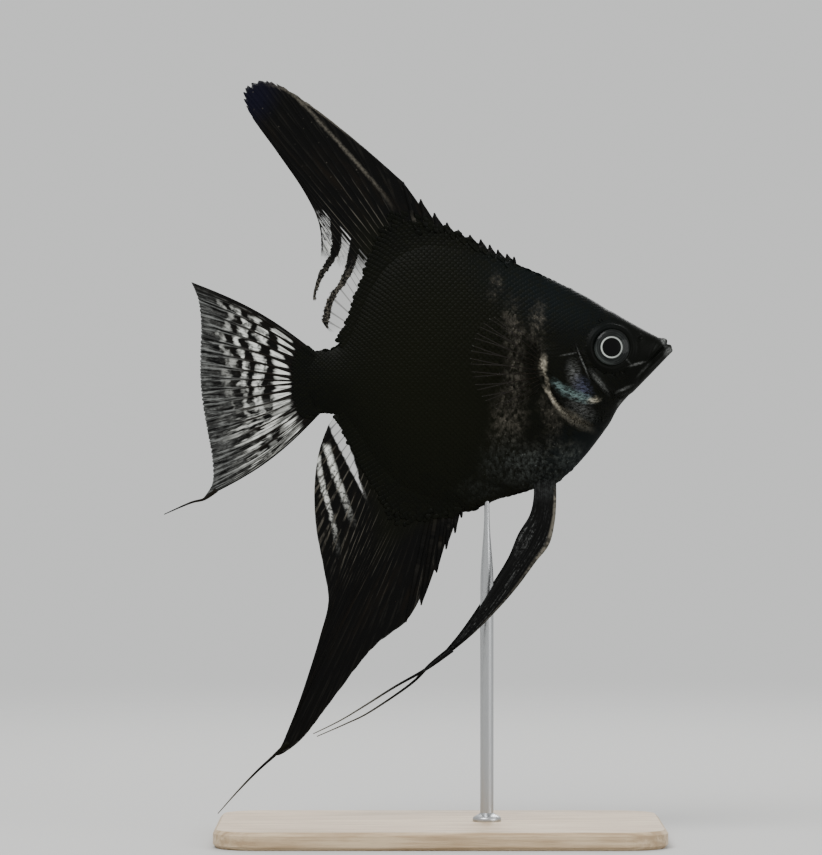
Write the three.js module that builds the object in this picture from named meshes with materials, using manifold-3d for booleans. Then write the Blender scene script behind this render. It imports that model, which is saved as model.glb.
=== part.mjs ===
// Freshwater angelfish (Pterophyllum scalare, black form): an adult at life size, swimming level, held over a
// plain display stand. Millimetres, +Z up, +X towards the snout, +Y towards the fish's left side. The origin
// is on the floor, under the middle of the stand's base.
//
// Points of the fish are pairs in hundredths of its standard length: x forward from the end of the tail stalk,
// z up from the body's axis. One length sizes the whole animal.

import * as THREE from "three";
import { mergeVertices } from "three/addons/utils/BufferGeometryUtils.js";
import Module from "manifold-3d";

const wasm = await Module();
wasm.setup();

const { lerp, smoothstep, clamp, degToRad } = THREE.MathUtils;

// ---------------------------------------------------------------- driving dimensions

const STANDARD_LENGTH = 80; // from the end of the tail stalk to the snout
const UNIT = STANDARD_LENGTH / 100;
const AXIS_HEIGHT = 102.5; // the body's axis above the floor
const TAIL_X = -28; // the end of the tail stalk, from the middle of the base
const GAP = 0.3; // clear space between neighbouring pieces
const CUT_HALF = 20; // half the width of a cut that goes right through the body

const BODY_RINGS = 34;
const BODY_AROUND = 24;
const SECTION = { power: 1.8, body: 0.7, head: 0.52 }; // how full the sections of the body and the head are
const GILL_COVER = { inner: 4.6, forward: degToRad(7), down: degToRad(-3) }; // its inner face, from the midline

const FIN_HALF = 0.27; // half the thickness of a fin between its rays, at the margin
const FIN_ROOT = 0.7; // the same where it leaves the body
const RAY_RIDGE = 0.13; // how far a ray stands out of the membrane
const NOTCH_AT = 0.25; // where the notch behind a spine is deepest, on the way to the next spine
const MOST_NOTCH = 0.6; // the most of a short spine that a notch bares

const EYE = {
  centre: [82.8, 9.5],
  y: 4.5, // the plane of the eye's rim, from the midline
  radius: 4.25,
  bulge: 1.25,
  depth: 2,
  up: degToRad(8),
  forward: degToRad(6),
};

const BASE = { length: 100, width: 64, thickness: 4, corner: 9, bevel: 0.8 };
const ROD = { x: 10.5, radius: 1.5, inBase: 2.5, inBelly: 5 };

// ---------------------------------------------------------------- the body's lines

const BACK = [[-3, 0], [-2.6, 5], [0, 8.6], [5.4, 9.6], [9, 14], [14.6, 27.4], [21, 36.6], [30, 40.8],
  [40.6, 39.4], [49, 35.8], [57.3, 32.6], [67.5, 28.3], [76.8, 23.7], [86.1, 17.9], [95.2, 12.9],
  [97.9, 12], [98.3, 10.2]];
const BELLY = [[-3, 0], [-2.6, -5.4], [0, -9], [5.4, -9.4], [10, -14], [18.2, -26.2], [27, -33.8],
  [40.8, -36.9], [51.8, -33.1], [61.6, -30.2], [67.5, -29], [75, -21.6], [81.5, -13.2], [86.1, -6.3],
  [95, 3.1], [98.6, 6.9], [100.2, 8.8], [98.3, 10.2]];
const HALF_WIDTH = [[-3, 0.8], [0, 1.5], [8, 2.4], [20, 4.1], [35, 6.2], [50, 7.6], [60, 8.3], [67, 8.6],
  [75, 8.2], [83, 7], [89, 5.3], [94, 3.7], [98, 2.1], [100.2, 0.9]]; // at stations along x

const GILL_LINE = [[60, 38], [61.4, 22], [62.2, 12], [62.6, 6], [63.6, 1], [65.8, -3.8], [68.8, -7.9],
  [72.6, -11.4], [77.6, -13.4], [84, -14.6]];
const STALK_LINE = [[8.4, 20], [7.8, 6], [7.8, -6], [8.6, -20]];
const COVER_OUTLINE = [[64.8, 8], [67, 11.4], [71, 12], [74.2, 9], [77, 4.4], [79.2, -1], [79.6, -5.6],
  [77.4, -8.8], [74, -8], [70.4, -5], [67.6, -1.6], [65.6, 2.6]];
const MOUTH_LINE = [[94, 6.1], [96.4, 8.4], [98.3, 10.2], [102.5, 14]];
const UPPER_JAW_LINE = [[94.1, 5.6], [94.2, 8.6], [95.4, 11], [97, 15.5]];
const LOWER_JAW_LINE = [[94.5, 6.8], [92.2, 4.2], [90.6, 1.2], [89.6, -6]];

// ---------------------------------------------------------------- the fins

// A fan fin is a list of its rays from front to rear, each with its root and its tip. A midline fin's root is a
// share of the body's outline: 0 at the tail end, 1 at the snout, along the back, and negative along the belly.
// bow is how far the first and the last ray bend outwards. A fin's first steps are spines, whose tips stand
// clear of the membrane by tooth.
const DORSAL = {
  rays: [[0.63, [55.7, 35]], [0.592, [51.2, 37]], [0.551, [46.4, 39.9]], [0.505, [40.1, 42.6]],
    [0.462, [33.4, 47.3]], [0.424, [24.6, 56]], [0.4, [9.4, 69.2]], [0.382, [-5.6, 80.6]],
    [0.364, [-14, 84.4]], [0.346, [-19.8, 82]], [0.327, [-18.6, 75.6]], [0.306, [-10.6, 64.2]],
    [0.283, [-3, 53]], [0.257, [1.2, 43.6]], [0.228, [1.4, 33]], [0.197, [-0.6, 22.7]],
    [0.164, [3, 15.2]], [0.132, [7.9, 11]]],
  spines: { steps: 5, perStep: 2, tooth: [1.1, 2.3] },
  raysPerStep: 2,
  bow: [0, 0],
};
const ANAL = {
  rays: [[-0.441, [41, -38.2]], [-0.433, [39.2, -42.6]], [-0.423, [36.7, -47]], [-0.411, [34, -53.6]],
    [-0.398, [29.7, -62.7]], [-0.386, [25.4, -67.4]], [-0.374, [15.7, -75.2]], [-0.362, [4.8, -89.2]],
    [-0.351, [-3.6, -100]], [-0.34, [-10.4, -104.8]], [-0.328, [-8.8, -100.6]], [-0.315, [-5.1, -91.4]],
    [-0.3, [-1.7, -81.4]], [-0.282, [1.4, -71.2]], [-0.261, [3.7, -61.6]], [-0.236, [2.4, -52.4]],
    [-0.209, [0.3, -41]], [-0.183, [-0.2, -30]], [-0.157, [1, -20]], [-0.128, [3.6, -12.4]]],
  spines: { steps: 5, perStep: 1, tooth: [1.4, 1.9] },
  raysPerStep: 2,
  bow: [0, 0],
};
const CAUDAL = {
  rays: [[0.07, [-34.7, 27.9]], [0.055, [-32.8, 23]], [0.038, [-32, 16]], [0.019, [-32.2, 8.4]],
    [0.001, [-32.2, 1]], [-0.016, [-31.6, -6]], [-0.033, [-30.2, -14]], [-0.05, [-28.9, -21.6]],
    [-0.064, [-28.8, -28.4]], [-0.075, [-31.4, -32.8]]],
  spines: { steps: 0 },
  raysPerStep: 2,
  bow: [2, 2.4],
};
const PECTORAL = {
  rays: [[[65, 5.6], [55.4, 17]], [[64.8, 5], [50, 18]], [[64.6, 4.2], [45.6, 14.4]],
    [[64.4, 3.4], [43.6, 8.6]], [[64.4, 2.4], [43.6, 2.4]], [[64.6, 1.4], [46, -3.6]],
    [[64.8, 0.6], [50.6, -7.8]], [[65, 0], [56, -7.6]]],
  spines: { steps: 0 },
  raysPerStep: 1,
  bow: [0.8, 0.8],
  root: { x: 65, y: 5.7 }, // y is in mm from the midline
  spread: Math.tan(degToRad(19)),
};
// A pelvic fin is a long blade between its front and rear edges, and a streamer that carries it on.
const PELVIC = {
  front: [[67.5, -26], [67.5, -33], [67, -39.4], [65.4, -45.6], [61.7, -50.4], [56.8, -57],
    [51.6, -63], [44.2, -70.4], [36.4, -76.8]],
  rear: [[61, -26], [61.3, -32], [60.2, -37.4], [57, -42.8], [54.2, -49.4], [50, -56.4],
    [45.4, -63.8], [40.2, -71.2], [35, -77.4]],
  rays: 3,
  root: { z: -27, y: 2.1 }, // y is in mm from the midline
  splay: Math.tan(degToRad(6.5)),
};
const STREAMER_HALF = [0.7, 0.36]; // half the height of a streamer at its root and its tip
const STREAMER_THICK = [0.5, 0.26]; // half its thickness there, in mm
const STREAMERS = {
  anal: [[-7.4, -101], [-11.9, -105.2], [-16.2, -109.1], [-21.7, -114.8], [-27.2, -121]],
  caudal: [[-27.6, -30.4], [-31, -32.9], [-35, -34], [-42.3, -37.2]],
  pelvic_right: [[38.4, -74.8], [31.1, -80.1], [22.4, -85], [12.8, -91], [6.7, -94.6], [-0.3, -98]],
  pelvic_left: [[38, -75.2], [32.2, -79.8], [26.8, -85.2], [15.3, -93.1], [8.7, -96.4], [0.3, -100.1]],
};

// ---------------------------------------------------------------- curves and profiles

// A point of the fish in mm, as (x, z) from the end of the tail stalk and the body's axis.
const point = ([x, z]) => new THREE.Vector2(x * UNIT, z * UNIT);
const spline = (points) => new THREE.SplineCurve(points.map(point));

// A smooth function through stations [x, value], in mm, level beyond both ends.
function profile(stations) {
  const xs = stations.map(([x]) => x * UNIT);
  const values = stations.map(([, value]) => value * UNIT);
  const cubic = new THREE.CubicInterpolant(xs, values, 1);
  return (x) => cubic.evaluate(clamp(x, xs[0], xs.at(-1)))[0];
}

// A strip along a line of points, for a thin cut or a tapering streamer, as an outline in mm.
function stripOutline(points, [rootHalf, tipHalf], steps = 12) {
  const line = spline(points);
  const left = [];
  const right = [];
  for (let i = 0; i <= steps; i++) {
    const middle = line.getPointAt(i / steps);
    const along = line.getTangentAt(i / steps);
    const across = new THREE.Vector2(-along.y, along.x).multiplyScalar(lerp(rootHalf, tipHalf, i / steps));
    left.push(middle.clone().add(across));
    right.unshift(middle.clone().sub(across));
  }
  return [...left, ...right];
}

// A closed smooth outline through points, moved outwards by grow, in mm.
function roundOutline(points, grow, steps = 18) {
  const line = spline([...points, points[0]]);
  const outline = [];
  for (let i = 0; i < steps; i++) {
    const along = line.getTangentAt(i / steps);
    outline.push(line.getPointAt(i / steps).add(new THREE.Vector2(-along.y, along.x).multiplyScalar(grow)));
  }
  return outline;
}

// ---------------------------------------------------------------- solids

function solidFrom(geometry) {
  const bare = geometry.clone();
  bare.deleteAttribute("normal");
  bare.deleteAttribute("uv");
  const merged = mergeVertices(bare, 1e-4);
  return new wasm.Manifold(
    new wasm.Mesh({
      numProp: 3,
      vertProperties: merged.attributes.position.array,
      triVerts: new Uint32Array(merged.index.array),
    }),
  );
}

function geometryFrom(solid) {
  const { vertProperties, triVerts } = solid.getMesh();
  const geometry = new THREE.BufferGeometry();
  geometry.setAttribute("position", new THREE.BufferAttribute(vertProperties, 3));
  geometry.setIndex(new THREE.BufferAttribute(triVerts, 1));
  return geometry;
}

// Moves each vertex of a geometry by place, which changes it.
function mapVertices(geometry, place) {
  const position = geometry.attributes.position;
  const vertex = new THREE.Vector3();
  for (let i = 0; i < position.count; i++) {
    place(vertex.fromBufferAttribute(position, i));
    position.setXYZ(i, vertex.x, vertex.y, vertex.z);
  }
  return geometry;
}

// An outline of (x, z) points in mm as a flat plate across the midline, half thick on each side.
function plate(outline, half) {
  const shape = new THREE.Shape(outline);
  const geometry = new THREE.ExtrudeGeometry(shape, { depth: 2 * half, bevelEnabled: false });
  return geometry.translate(0, 0, -half).rotateX(Math.PI / 2);
}

const through = (outline) => solidFrom(plate(outline, CUT_HALF));
const cutAlong = (points) => through(stripOutline(points, [GAP / 2, GAP / 2]));
const largest = (solid) => solid.decompose().sort((a, b) => b.volume() - a.volume())[0];

// ---------------------------------------------------------------- body

const backLine = spline(BACK);
const bellyLine = spline(BELLY);
const halfWidth = profile(HALF_WIDTH);

// The body's surface at share u of the way from the tail to the snout, and at angle a round the section, from
// the back (0) over the fish's left side. grow moves it outwards.
function bodyPoint(u, a, grow) {
  const back = backLine.getPointAt(u);
  const belly = bellyLine.getPointAt(u);
  const middle = back.clone().add(belly).multiplyScalar(0.5);
  const up = back.sub(belly).multiplyScalar(0.5);
  const height = up.length();
  const stretch = height > 0 ? 1 + grow / height : 0;
  const closing = Math.min(1, Math.sqrt(25 * Math.min(u, 1 - u)));
  const beyond = grow * (1 - closing) * Math.sign(u - 0.5);
  const rise = Math.cos(a);
  const ahead = smoothstep(middle.x, 66 * UNIT, 90 * UNIT);
  const bulge = Math.max(0, 1 - Math.abs(rise) ** SECTION.power) ** lerp(SECTION.body, SECTION.head, ahead);
  const half = (halfWidth(middle.x) * closing + grow) * bulge * Math.sign(Math.sin(a));
  return new THREE.Vector3(
    middle.x + up.x * rise * stretch + beyond,
    height > 0 ? half : 0,
    middle.y + up.y * rise * stretch,
  );
}

function bodySolid(grow = 0) {
  const ball = new THREE.SphereGeometry(1, BODY_AROUND, BODY_RINGS);
  ball.rotateZ(Math.PI / 2); // the poles turn to the tail (-X) and the snout (+X)
  return solidFrom(
    mapVertices(ball, (v) => {
      const u = Math.acos(clamp(-v.x, -1, 1)) / Math.PI;
      v.copy(bodyPoint(u, Math.atan2(v.y, v.z), grow));
    }),
  );
}

// A point of the body's outline in its side view, at share w of it, as (x, z) in mm.
function outlinePoint(w, grow) {
  const { x, z } = bodyPoint(Math.abs(w), w < 0 ? Math.PI : 0, grow);
  return new THREE.Vector2(x, z);
}

// The space beyond the plane of a gill cover's inner face, on one side (1 is left, -1 right).
function besideHead(side, inwards) {
  const room = new THREE.BoxGeometry(60, 20, 60).translate(0, 10, 0);
  room.rotateX(side > 0 ? GILL_COVER.down : Math.PI - GILL_COVER.down);
  room.rotateZ(-side * GILL_COVER.forward);
  const [x, z] = COVER_OUTLINE[0];
  return solidFrom(room.translate(x * UNIT, side * (GILL_COVER.inner - inwards), z * UNIT));
}

// A shell of clear space that parts a gill cover from the head.
function coverCut(side) {
  const outer = through(roundOutline(COVER_OUTLINE, GAP)).intersect(besideHead(side, GAP));
  return outer.subtract(through(roundOutline(COVER_OUTLINE, 0)).intersect(besideHead(side, 0)));
}

// A dome over a cup, turned to its side of the head. room makes it the socket, open to the outside.
function eyeSolid(side, room = 0) {
  const r = EYE.radius + room;
  const floor = -EYE.depth - room;
  const dome = [[r * 0.88, 0.42], [r * 0.62, 0.78], [r * 0.32, 0.95], [0, 1]];
  const top = room ? [[r, CUT_HALF], [0, CUT_HALF]] : dome.map(([x, y]) => [x, y * EYE.bulge]);
  const half = [[0, floor], [r * 0.66, floor * 0.92], [r, floor * 0.3], [r, 0], ...top];
  const eye = new THREE.LatheGeometry(half.map(([x, y]) => new THREE.Vector2(x, y)), 18);
  eye.rotateX(side > 0 ? EYE.up : Math.PI - EYE.up).rotateZ(-side * EYE.forward);
  const [x, z] = EYE.centre;
  return solidFrom(eye.translate(x * UNIT, side * EYE.y, z * UNIT));
}

// ---------------------------------------------------------------- fins

// How far the margin is cut back, in mm, at s steps along the fin: most just behind each spine, and less and
// less up to the next one.
function notch(s, { steps, perStep, tooth }) {
  if (s >= steps) return 0;
  const phase = (s * perStep) % 1;
  const depth = Math.min(phase / NOTCH_AT, (1 - phase) / (1 - NOTCH_AT));
  return lerp(tooth[0], tooth[1], s / steps) * UNIT * depth;
}

// Draws the columns between two spines towards the first of them, where the notch is.
function leanBack(s, { steps, perStep }) {
  if (s >= steps) return s;
  const phase = (s * perStep) % 1;
  return s + (phase ** 2 - phase) / perStep;
}

// Where a fan fin lies, at a share of its base and v of the way along its rays, as (x, z) in mm.
function fanPlace({ rays, spines, bow }, rootAt) {
  const tips = spline(rays.map(([, tip]) => tip));
  const steps = rays.length - 1;
  return (share, v) => {
    const s = leanBack(share * steps, spines);
    const t = s / steps;
    const root = rootAt(t);
    const ray = tips.getPoint(t).sub(root);
    const length = ray.length();
    const reach = v * (1 - Math.min(notch(s, spines) / length, MOST_NOTCH));
    const bend = (Math.sin(Math.PI * v) * lerp(bow[0], -bow[1], t) * UNIT) / length;
    return new THREE.Vector2(ray.y, -ray.x).multiplyScalar(bend).addScaledVector(ray, reach).add(root);
  };
}

// A midline fin's roots follow the body's outline, a gap outside it.
function outlineRoots({ rays }) {
  const shares = new THREE.SplineCurve(rays.map(([w], i) => new THREE.Vector2(w, i)));
  return (t) => outlinePoint(shares.getPoint(t).x, GAP);
}

// Where a blade between a front and a rear edge lies, t across it and v along it.
function bladePlace({ front, rear }) {
  const frontEdge = spline(front);
  const rearEdge = spline(rear);
  return (t, v) => frontEdge.getPoint(v).lerp(rearEdge.getPoint(v), t);
}

// A fin as a solid, thinning to its margin and thicker along each ray, at aside(x, z) mm from the midline.
function finSolid(place, { across, along, rays }, aside = () => 0) {
  const centre = place(0.5, 0.5);
  const turn = Math.sign(place(0.52, 0.5).sub(centre).cross(place(0.5, 0.52).sub(centre)));
  const sheet = new THREE.BoxGeometry(1, 1, 1, across, along, 1);
  return solidFrom(
    mapVertices(sheet, (p) => {
      const t = p.x + 0.5;
      const v = p.y + 0.5;
      const ridge = RAY_RIDGE * (1 - 2 * Math.abs(t * rays - Math.round(t * rays)));
      const half = lerp(FIN_ROOT, FIN_HALF, Math.sqrt(v)) + ridge;
      const at = place(t, v);
      p.set(at.x, aside(at) - 2 * p.z * turn * half, at.y);
    }),
  );
}

function fanFin(fin, rootAt, along, aside) {
  const rays = (fin.rays.length - 1) * fin.raysPerStep;
  return finSolid(fanPlace(fin, rootAt), { across: 2 * rays, along, rays }, aside);
}

const midlineFin = (fin, along) => fanFin(fin, outlineRoots(fin), along);

// The thread that a fin ends in, thinning from its root, at aside(x, z) mm from the midline.
function streamer(name, aside = () => 0) {
  const line = STREAMERS[name];
  const strip = plate(stripOutline(line, STREAMER_HALF.map((half) => half * UNIT)), 1);
  const root = point(line[0]);
  const length = root.distanceTo(point(line.at(-1)));
  return solidFrom(
    mapVertices(strip, (p) => {
      const at = new THREE.Vector2(p.x, p.z);
      const share = clamp(at.distanceTo(root) / length, 0, 1);
      p.setY(p.y * lerp(STREAMER_THICK[0], STREAMER_THICK[1], share) + aside(at));
    }),
  );
}

function pelvicFin(side) {
  const { rays, root, splay } = PELVIC;
  const aside = (at) => side * (root.y + Math.max(0, root.z * UNIT - at.y) * splay);
  const blade = finSolid(bladePlace(PELVIC), { across: 2 * rays, along: 11, rays }, aside);
  return blade.add(streamer(side > 0 ? "pelvic_left" : "pelvic_right", aside));
}

function pectoralFin(side) {
  const { rays, root, spread } = PECTORAL;
  const roots = spline(rays.map(([start]) => start));
  const aside = (at) => side * (root.y + (root.x * UNIT - at.x) * spread);
  return fanFin(PECTORAL, (t) => roots.getPoint(t), 3, aside);
}

// ---------------------------------------------------------------- stand

function standBase() {
  const { length, width, thickness, corner, bevel } = BASE;
  const x = length / 2 - bevel;
  const y = width / 2 - bevel;
  const shape = new THREE.Shape();
  shape.moveTo(-x + corner, -y).lineTo(x - corner, -y).absarc(x - corner, -y + corner, corner, -Math.PI / 2, 0);
  shape.lineTo(x, y - corner).absarc(x - corner, y - corner, corner, 0, Math.PI / 2);
  shape.lineTo(-x + corner, y).absarc(-x + corner, y - corner, corner, Math.PI / 2, Math.PI);
  shape.lineTo(-x, -y + corner).absarc(-x + corner, -y + corner, corner, Math.PI, 1.5 * Math.PI);
  const block = new THREE.ExtrudeGeometry(shape, {
    depth: thickness - 2 * bevel,
    bevelSize: bevel,
    bevelThickness: bevel,
    bevelSegments: 1,
    curveSegments: 4,
  });
  return solidFrom(block.translate(0, 0, bevel));
}

function rodSolid(bottom, top, radius) {
  const rod = new THREE.CylinderGeometry(radius, radius, top - bottom, 16);
  return solidFrom(rod.rotateX(Math.PI / 2).translate(ROD.x, 0, (top + bottom) / 2));
}

// ---------------------------------------------------------------- the parts

const rodX = ROD.x - TAIL_X;
const rodBottom = BASE.thickness - ROD.inBase;
const bellyAtRod = AXIS_HEIGHT + profile(BELLY.slice(3, 12))(rodX);
const rodTop = bellyAtRod + ROD.inBelly;

const flesh = { color: 0x111216, roughness: 0.5, metalness: 0 };
const finSkin = { color: 0x17161a, roughness: 0.55, metalness: 0 };
const clearFin = { color: 0x4a4c50, roughness: 0.4, metalness: 0 };
const iris = { color: 0x2b2e33, roughness: 0.15, metalness: 0 };
const wood = { color: 0xcdbfa8, roughness: 0.6, metalness: 0 };
const steel = { color: 0xb4b7ba, roughness: 0.35, metalness: 1 };

const fish = new THREE.Group();
fish.position.set(TAIL_X, 0, AXIS_HEIGHT);
const stand = new THREE.Group();
const group = new THREE.Group();
group.add(fish, stand);

function addPart(owner, name, solid, finish) {
  const mesh = new THREE.Mesh(geometryFrom(solid), new THREE.MeshStandardMaterial(finish));
  mesh.name = name;
  owner.add(mesh);
}

// The body is one form, parted by thin cuts into the pieces that a keeper would name.
function bodyPieces() {
  const lines = [GILL_LINE, STALK_LINE, MOUTH_LINE, UPPER_JAW_LINE, LOWER_JAW_LINE];
  const cuts = [...lines.map(cutAlong), coverCut(1), coverCut(-1)];
  const pieces = cuts.reduce((body, cut) => body.subtract(cut), bodySolid()).decompose();
  const middle = (solid) => {
    const { min, max } = solid.boundingBox();
    return new THREE.Vector3(...min).add(new THREE.Vector3(...max)).multiplyScalar(0.5 / UNIT);
  };
  return ([x, y, z]) => {
    const spot = new THREE.Vector3(x, y, z);
    return pieces.reduce((a, b) => (middle(a).distanceTo(spot) < middle(b).distanceTo(spot) ? a : b));
  };
}

const pieceNear = bodyPieces();
const around = bodySolid(GAP);
const socket = rodSolid(rodBottom, rodTop + GAP, ROD.radius + GAP).translate(-TAIL_X, 0, -AXIS_HEIGHT);

addPart(fish, "head", pieceNear([79, 0, 9]).subtract(eyeSolid(1, GAP)).subtract(eyeSolid(-1, GAP)), flesh);
addPart(fish, "trunk", pieceNear([45, 0, 2]).subtract(socket), flesh);
addPart(fish, "tail_stalk", pieceNear([2, 0, 0]), flesh);
addPart(fish, "upper_jaw", pieceNear([97, 0, 10.5]), flesh);
addPart(fish, "lower_jaw", pieceNear([95, 0, 4]), flesh);
addPart(fish, "dorsal_fin", midlineFin(DORSAL, 3), finSkin);
addPart(fish, "anal_fin", midlineFin(ANAL, 3).add(streamer("anal")), finSkin);
addPart(fish, "caudal_fin", midlineFin(CAUDAL, 4).add(streamer("caudal")), finSkin);
for (const [side, name] of [[1, "left"], [-1, "right"]]) {
  addPart(fish, `gill_cover_${name}`, pieceNear([72, side * 7, 2]), flesh);
  addPart(fish, `eye_${name}`, eyeSolid(side), iris);
  addPart(fish, `pectoral_fin_${name}`, largest(pectoralFin(side).subtract(around)), clearFin);
  addPart(fish, `pelvic_fin_${name}`, largest(pelvicFin(side).subtract(around)), finSkin);
}
addPart(stand, "stand_rod", rodSolid(rodBottom + GAP, rodTop, ROD.radius), steel);
addPart(stand, "stand_base", standBase().subtract(rodSolid(rodBottom, rodTop, ROD.radius + GAP)), wood);

export default group;
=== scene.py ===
import bisect
import functools
import math
import random

import bmesh
import bpy
import numpy as np
from bpy.props import FloatProperty, FloatVectorProperty, IntProperty, PointerProperty
from mathutils import Matrix, Vector
from mathutils.bvhtree import BVHTree

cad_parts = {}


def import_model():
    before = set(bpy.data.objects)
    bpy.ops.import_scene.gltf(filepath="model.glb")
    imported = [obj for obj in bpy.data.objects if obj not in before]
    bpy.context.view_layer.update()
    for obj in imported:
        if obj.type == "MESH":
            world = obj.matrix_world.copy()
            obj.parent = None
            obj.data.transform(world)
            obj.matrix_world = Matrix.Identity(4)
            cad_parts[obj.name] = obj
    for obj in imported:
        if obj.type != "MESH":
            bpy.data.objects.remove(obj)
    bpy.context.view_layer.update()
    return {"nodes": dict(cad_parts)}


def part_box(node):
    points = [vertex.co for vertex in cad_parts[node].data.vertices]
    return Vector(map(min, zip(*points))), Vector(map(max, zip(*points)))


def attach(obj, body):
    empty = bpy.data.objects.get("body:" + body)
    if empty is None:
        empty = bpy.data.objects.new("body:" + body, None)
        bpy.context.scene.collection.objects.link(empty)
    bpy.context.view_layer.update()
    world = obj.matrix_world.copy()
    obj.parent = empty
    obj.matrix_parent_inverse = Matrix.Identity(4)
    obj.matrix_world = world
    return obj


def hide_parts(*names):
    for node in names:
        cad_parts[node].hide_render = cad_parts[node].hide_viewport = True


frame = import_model()

bl_info = {
    "name": "Angelfish Display Model",
    "version": (1, 0, 0),
    "blender": (4, 5, 0),
    "location": "View3D > Sidebar > Angelfish",
    "description": "Makes a black angelfish's skin, scales, fins and eyes, its stand and a studio",
    "category": "Add Mesh",
}

# ---------------------------------------------------------------- the animal's lines
#
# Points of the fish are pairs in hundredths of its standard length: x forward from the end of the tail
# stalk, z up from the body's axis. Everything is mirrored across the midline, y = 0.

BACK = [
    (-3, 0), (-2.6, 5), (0, 8.6), (5.4, 9.6), (9, 14), (14.6, 27.4), (21, 36.6), (30, 40.8),
    (40.6, 39.4), (49, 35.8), (57.3, 32.6), (67.5, 28.3), (76.8, 23.7), (86.1, 17.9), (95.2, 12.9),
    (97.9, 12), (98.3, 10.2),
]
BELLY = [
    (-3, 0), (-2.6, -5.4), (0, -9), (5.4, -9.4), (10, -14), (18.2, -26.2), (27, -33.8), (40.8, -36.9),
    (51.8, -33.1), (61.6, -30.2), (67.5, -29), (75, -21.6), (81.5, -13.2), (86.1, -6.3), (95, 3.1),
    (98.6, 6.9), (100.2, 8.8), (98.3, 10.2),
]
HALF_WIDTH = [
    (-3, 0.8), (0, 1.5), (8, 2.4), (20, 4.1), (35, 6.2), (50, 7.6), (60, 8.3), (67, 8.6), (75, 8.2),
    (83, 7), (89, 5.3), (94, 3.7), (98, 2.1), (100.2, 0.9),
]
SECTION_POWER = 1.8
SECTION_FULL = (0.7, 0.52)  # how full the sections of the body and of the head are

GILL_EDGE = [
    (62.4, 10.5), (62.9, 6.7), (63.3, 3.4), (64.4, 0.6), (66.4, -3.4), (69.2, -7.3), (72.8, -10.6),
    (77.6, -12.3), (82, -12.8),
]
CHEEK_RIDGE = [
    (72.6, 10.6), (73.4, 8.4), (75.6, 5), (77.6, 2.2), (79.8, -0.6), (82, -3), (85.4, -4), (89, -2.6),
]
GAPE = [(92.6, 4.9), (94, 6.1), (96.4, 8.4), (98.3, 10.2), (100, 11.8)]
UPPER_LIP = [(93.2, 6), (94.2, 8.6), (95.4, 11), (96.2, 13)]
LOWER_LIP = [(94.2, 5.4), (92.4, 4), (91.2, 1.8), (90.2, -1.4)]
NOSTRIL = (90.8, 12.2)
PORES = [
    (76.6, 6.4), (78.4, 3.9), (80.8, 2.2), (83.6, 1.6), (86.4, 2.6), (88.6, 4.6), (80.4, 17.2),
    (84.6, 16.2),
]
EYE = {"centre": (82.8, 9.5), "radius": 5.3, "plane": 5.62, "bulge": 1.5, "up": 8, "forward": 6}

# A fan fin has a list of its rays from front to rear, each with its root and its tip. A midline fin's root
# is a share of the body's outline, from 0 at the tail to 1 at the snout along the back, and negative along
# the belly. It lies at a depth in the body, and at the tail it is also sunk forwards. tooth is how deep the
# margin is cut behind the first and the last spine, bow how far the first and the last ray bend outwards,
# swell the reach and the power with which the flesh of the base thins out, fray which part of the margin is
# worn and how deep, and scaled how far scales run out over the base, by x. mesh gives the columns for each
# of its ray_count rays and the rows along them. root_half is half its thickness at the root, and fork the
# share of its length at which a ray forks.
FIN = {"root_half": 0.45, "fork": 0.4, "spine_steps": 0, "bow": (0, 0), "sink": 0}
DORSAL = {
    **FIN,
    "rays": [
        (0.63, (55.7, 35)), (0.592, (51.2, 37)), (0.551, (46.4, 39.9)), (0.505, (40.1, 42.6)),
        (0.462, (33.4, 47.3)), (0.424, (24.6, 56)), (0.4, (9.4, 69.2)), (0.382, (-5.6, 80.6)),
        (0.364, (-14, 84.4)), (0.346, (-19.8, 82)), (0.327, (-18.6, 75.6)), (0.306, (-10.6, 64.2)),
        (0.283, (-3, 53)), (0.257, (1.2, 43.6)), (0.228, (1.4, 33)), (0.197, (-0.6, 22.7)),
        (0.164, (3, 15.2)), (0.132, (7.9, 11)),
    ],
    "ray_count": 34,
    "mesh": (8, 72),
    "spine_steps": 5,
    "spines_per_step": 2,
    "tooth": (1.2, 2.4),
    "depth": 4,
    "swell": (4.6, 1.2),
    "fray": (0.4, 0.6, 1.2),
    "scaled": [
        (-4, 3.2), (1, 1), (9, 1.2), (12.4, 1.4), (15.4, 2.9), (18, 6), (23, 9.5), (29, 6), (37, 3),
        (44, 0.9), (50, 0.3), (58, 0.1),
    ],
}
ANAL = {
    **FIN,
    "rays": [
        (-0.441, (41, -38.2)), (-0.433, (39.2, -42.6)), (-0.423, (36.7, -47)), (-0.411, (34, -53.6)),
        (-0.398, (29.7, -62.7)), (-0.386, (25.4, -67.4)), (-0.374, (15.7, -75.2)),
        (-0.362, (4.8, -89.2)), (-0.351, (-3.6, -100)), (-0.34, (-10.4, -104.8)),
        (-0.328, (-8.8, -100.6)), (-0.315, (-5.1, -91.4)), (-0.3, (-1.7, -81.4)),
        (-0.282, (1.4, -71.2)), (-0.261, (3.7, -61.6)), (-0.236, (2.4, -52.4)), (-0.209, (0.3, -41)),
        (-0.183, (-0.2, -30)), (-0.157, (1, -20)), (-0.128, (3.6, -12.4)),
    ],
    "ray_count": 38,
    "mesh": (8, 72),
    "spine_steps": 5,
    "spines_per_step": 1,
    "tooth": (2.5, 3.3),
    "depth": 4,
    "swell": (4.6, 1.2),
    "fray": (0.3, 0.4, 0.5),
    "scaled": [
        (-4, 3.2), (1, 1), (5.8, 1.2), (8, 1.7), (11, 2.6), (15.9, 4), (19, 6.5), (23, 8), (28, 5.5),
        (34, 3), (38, 1.2), (42, 0.3), (50, 0.2),
    ],
}
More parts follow.
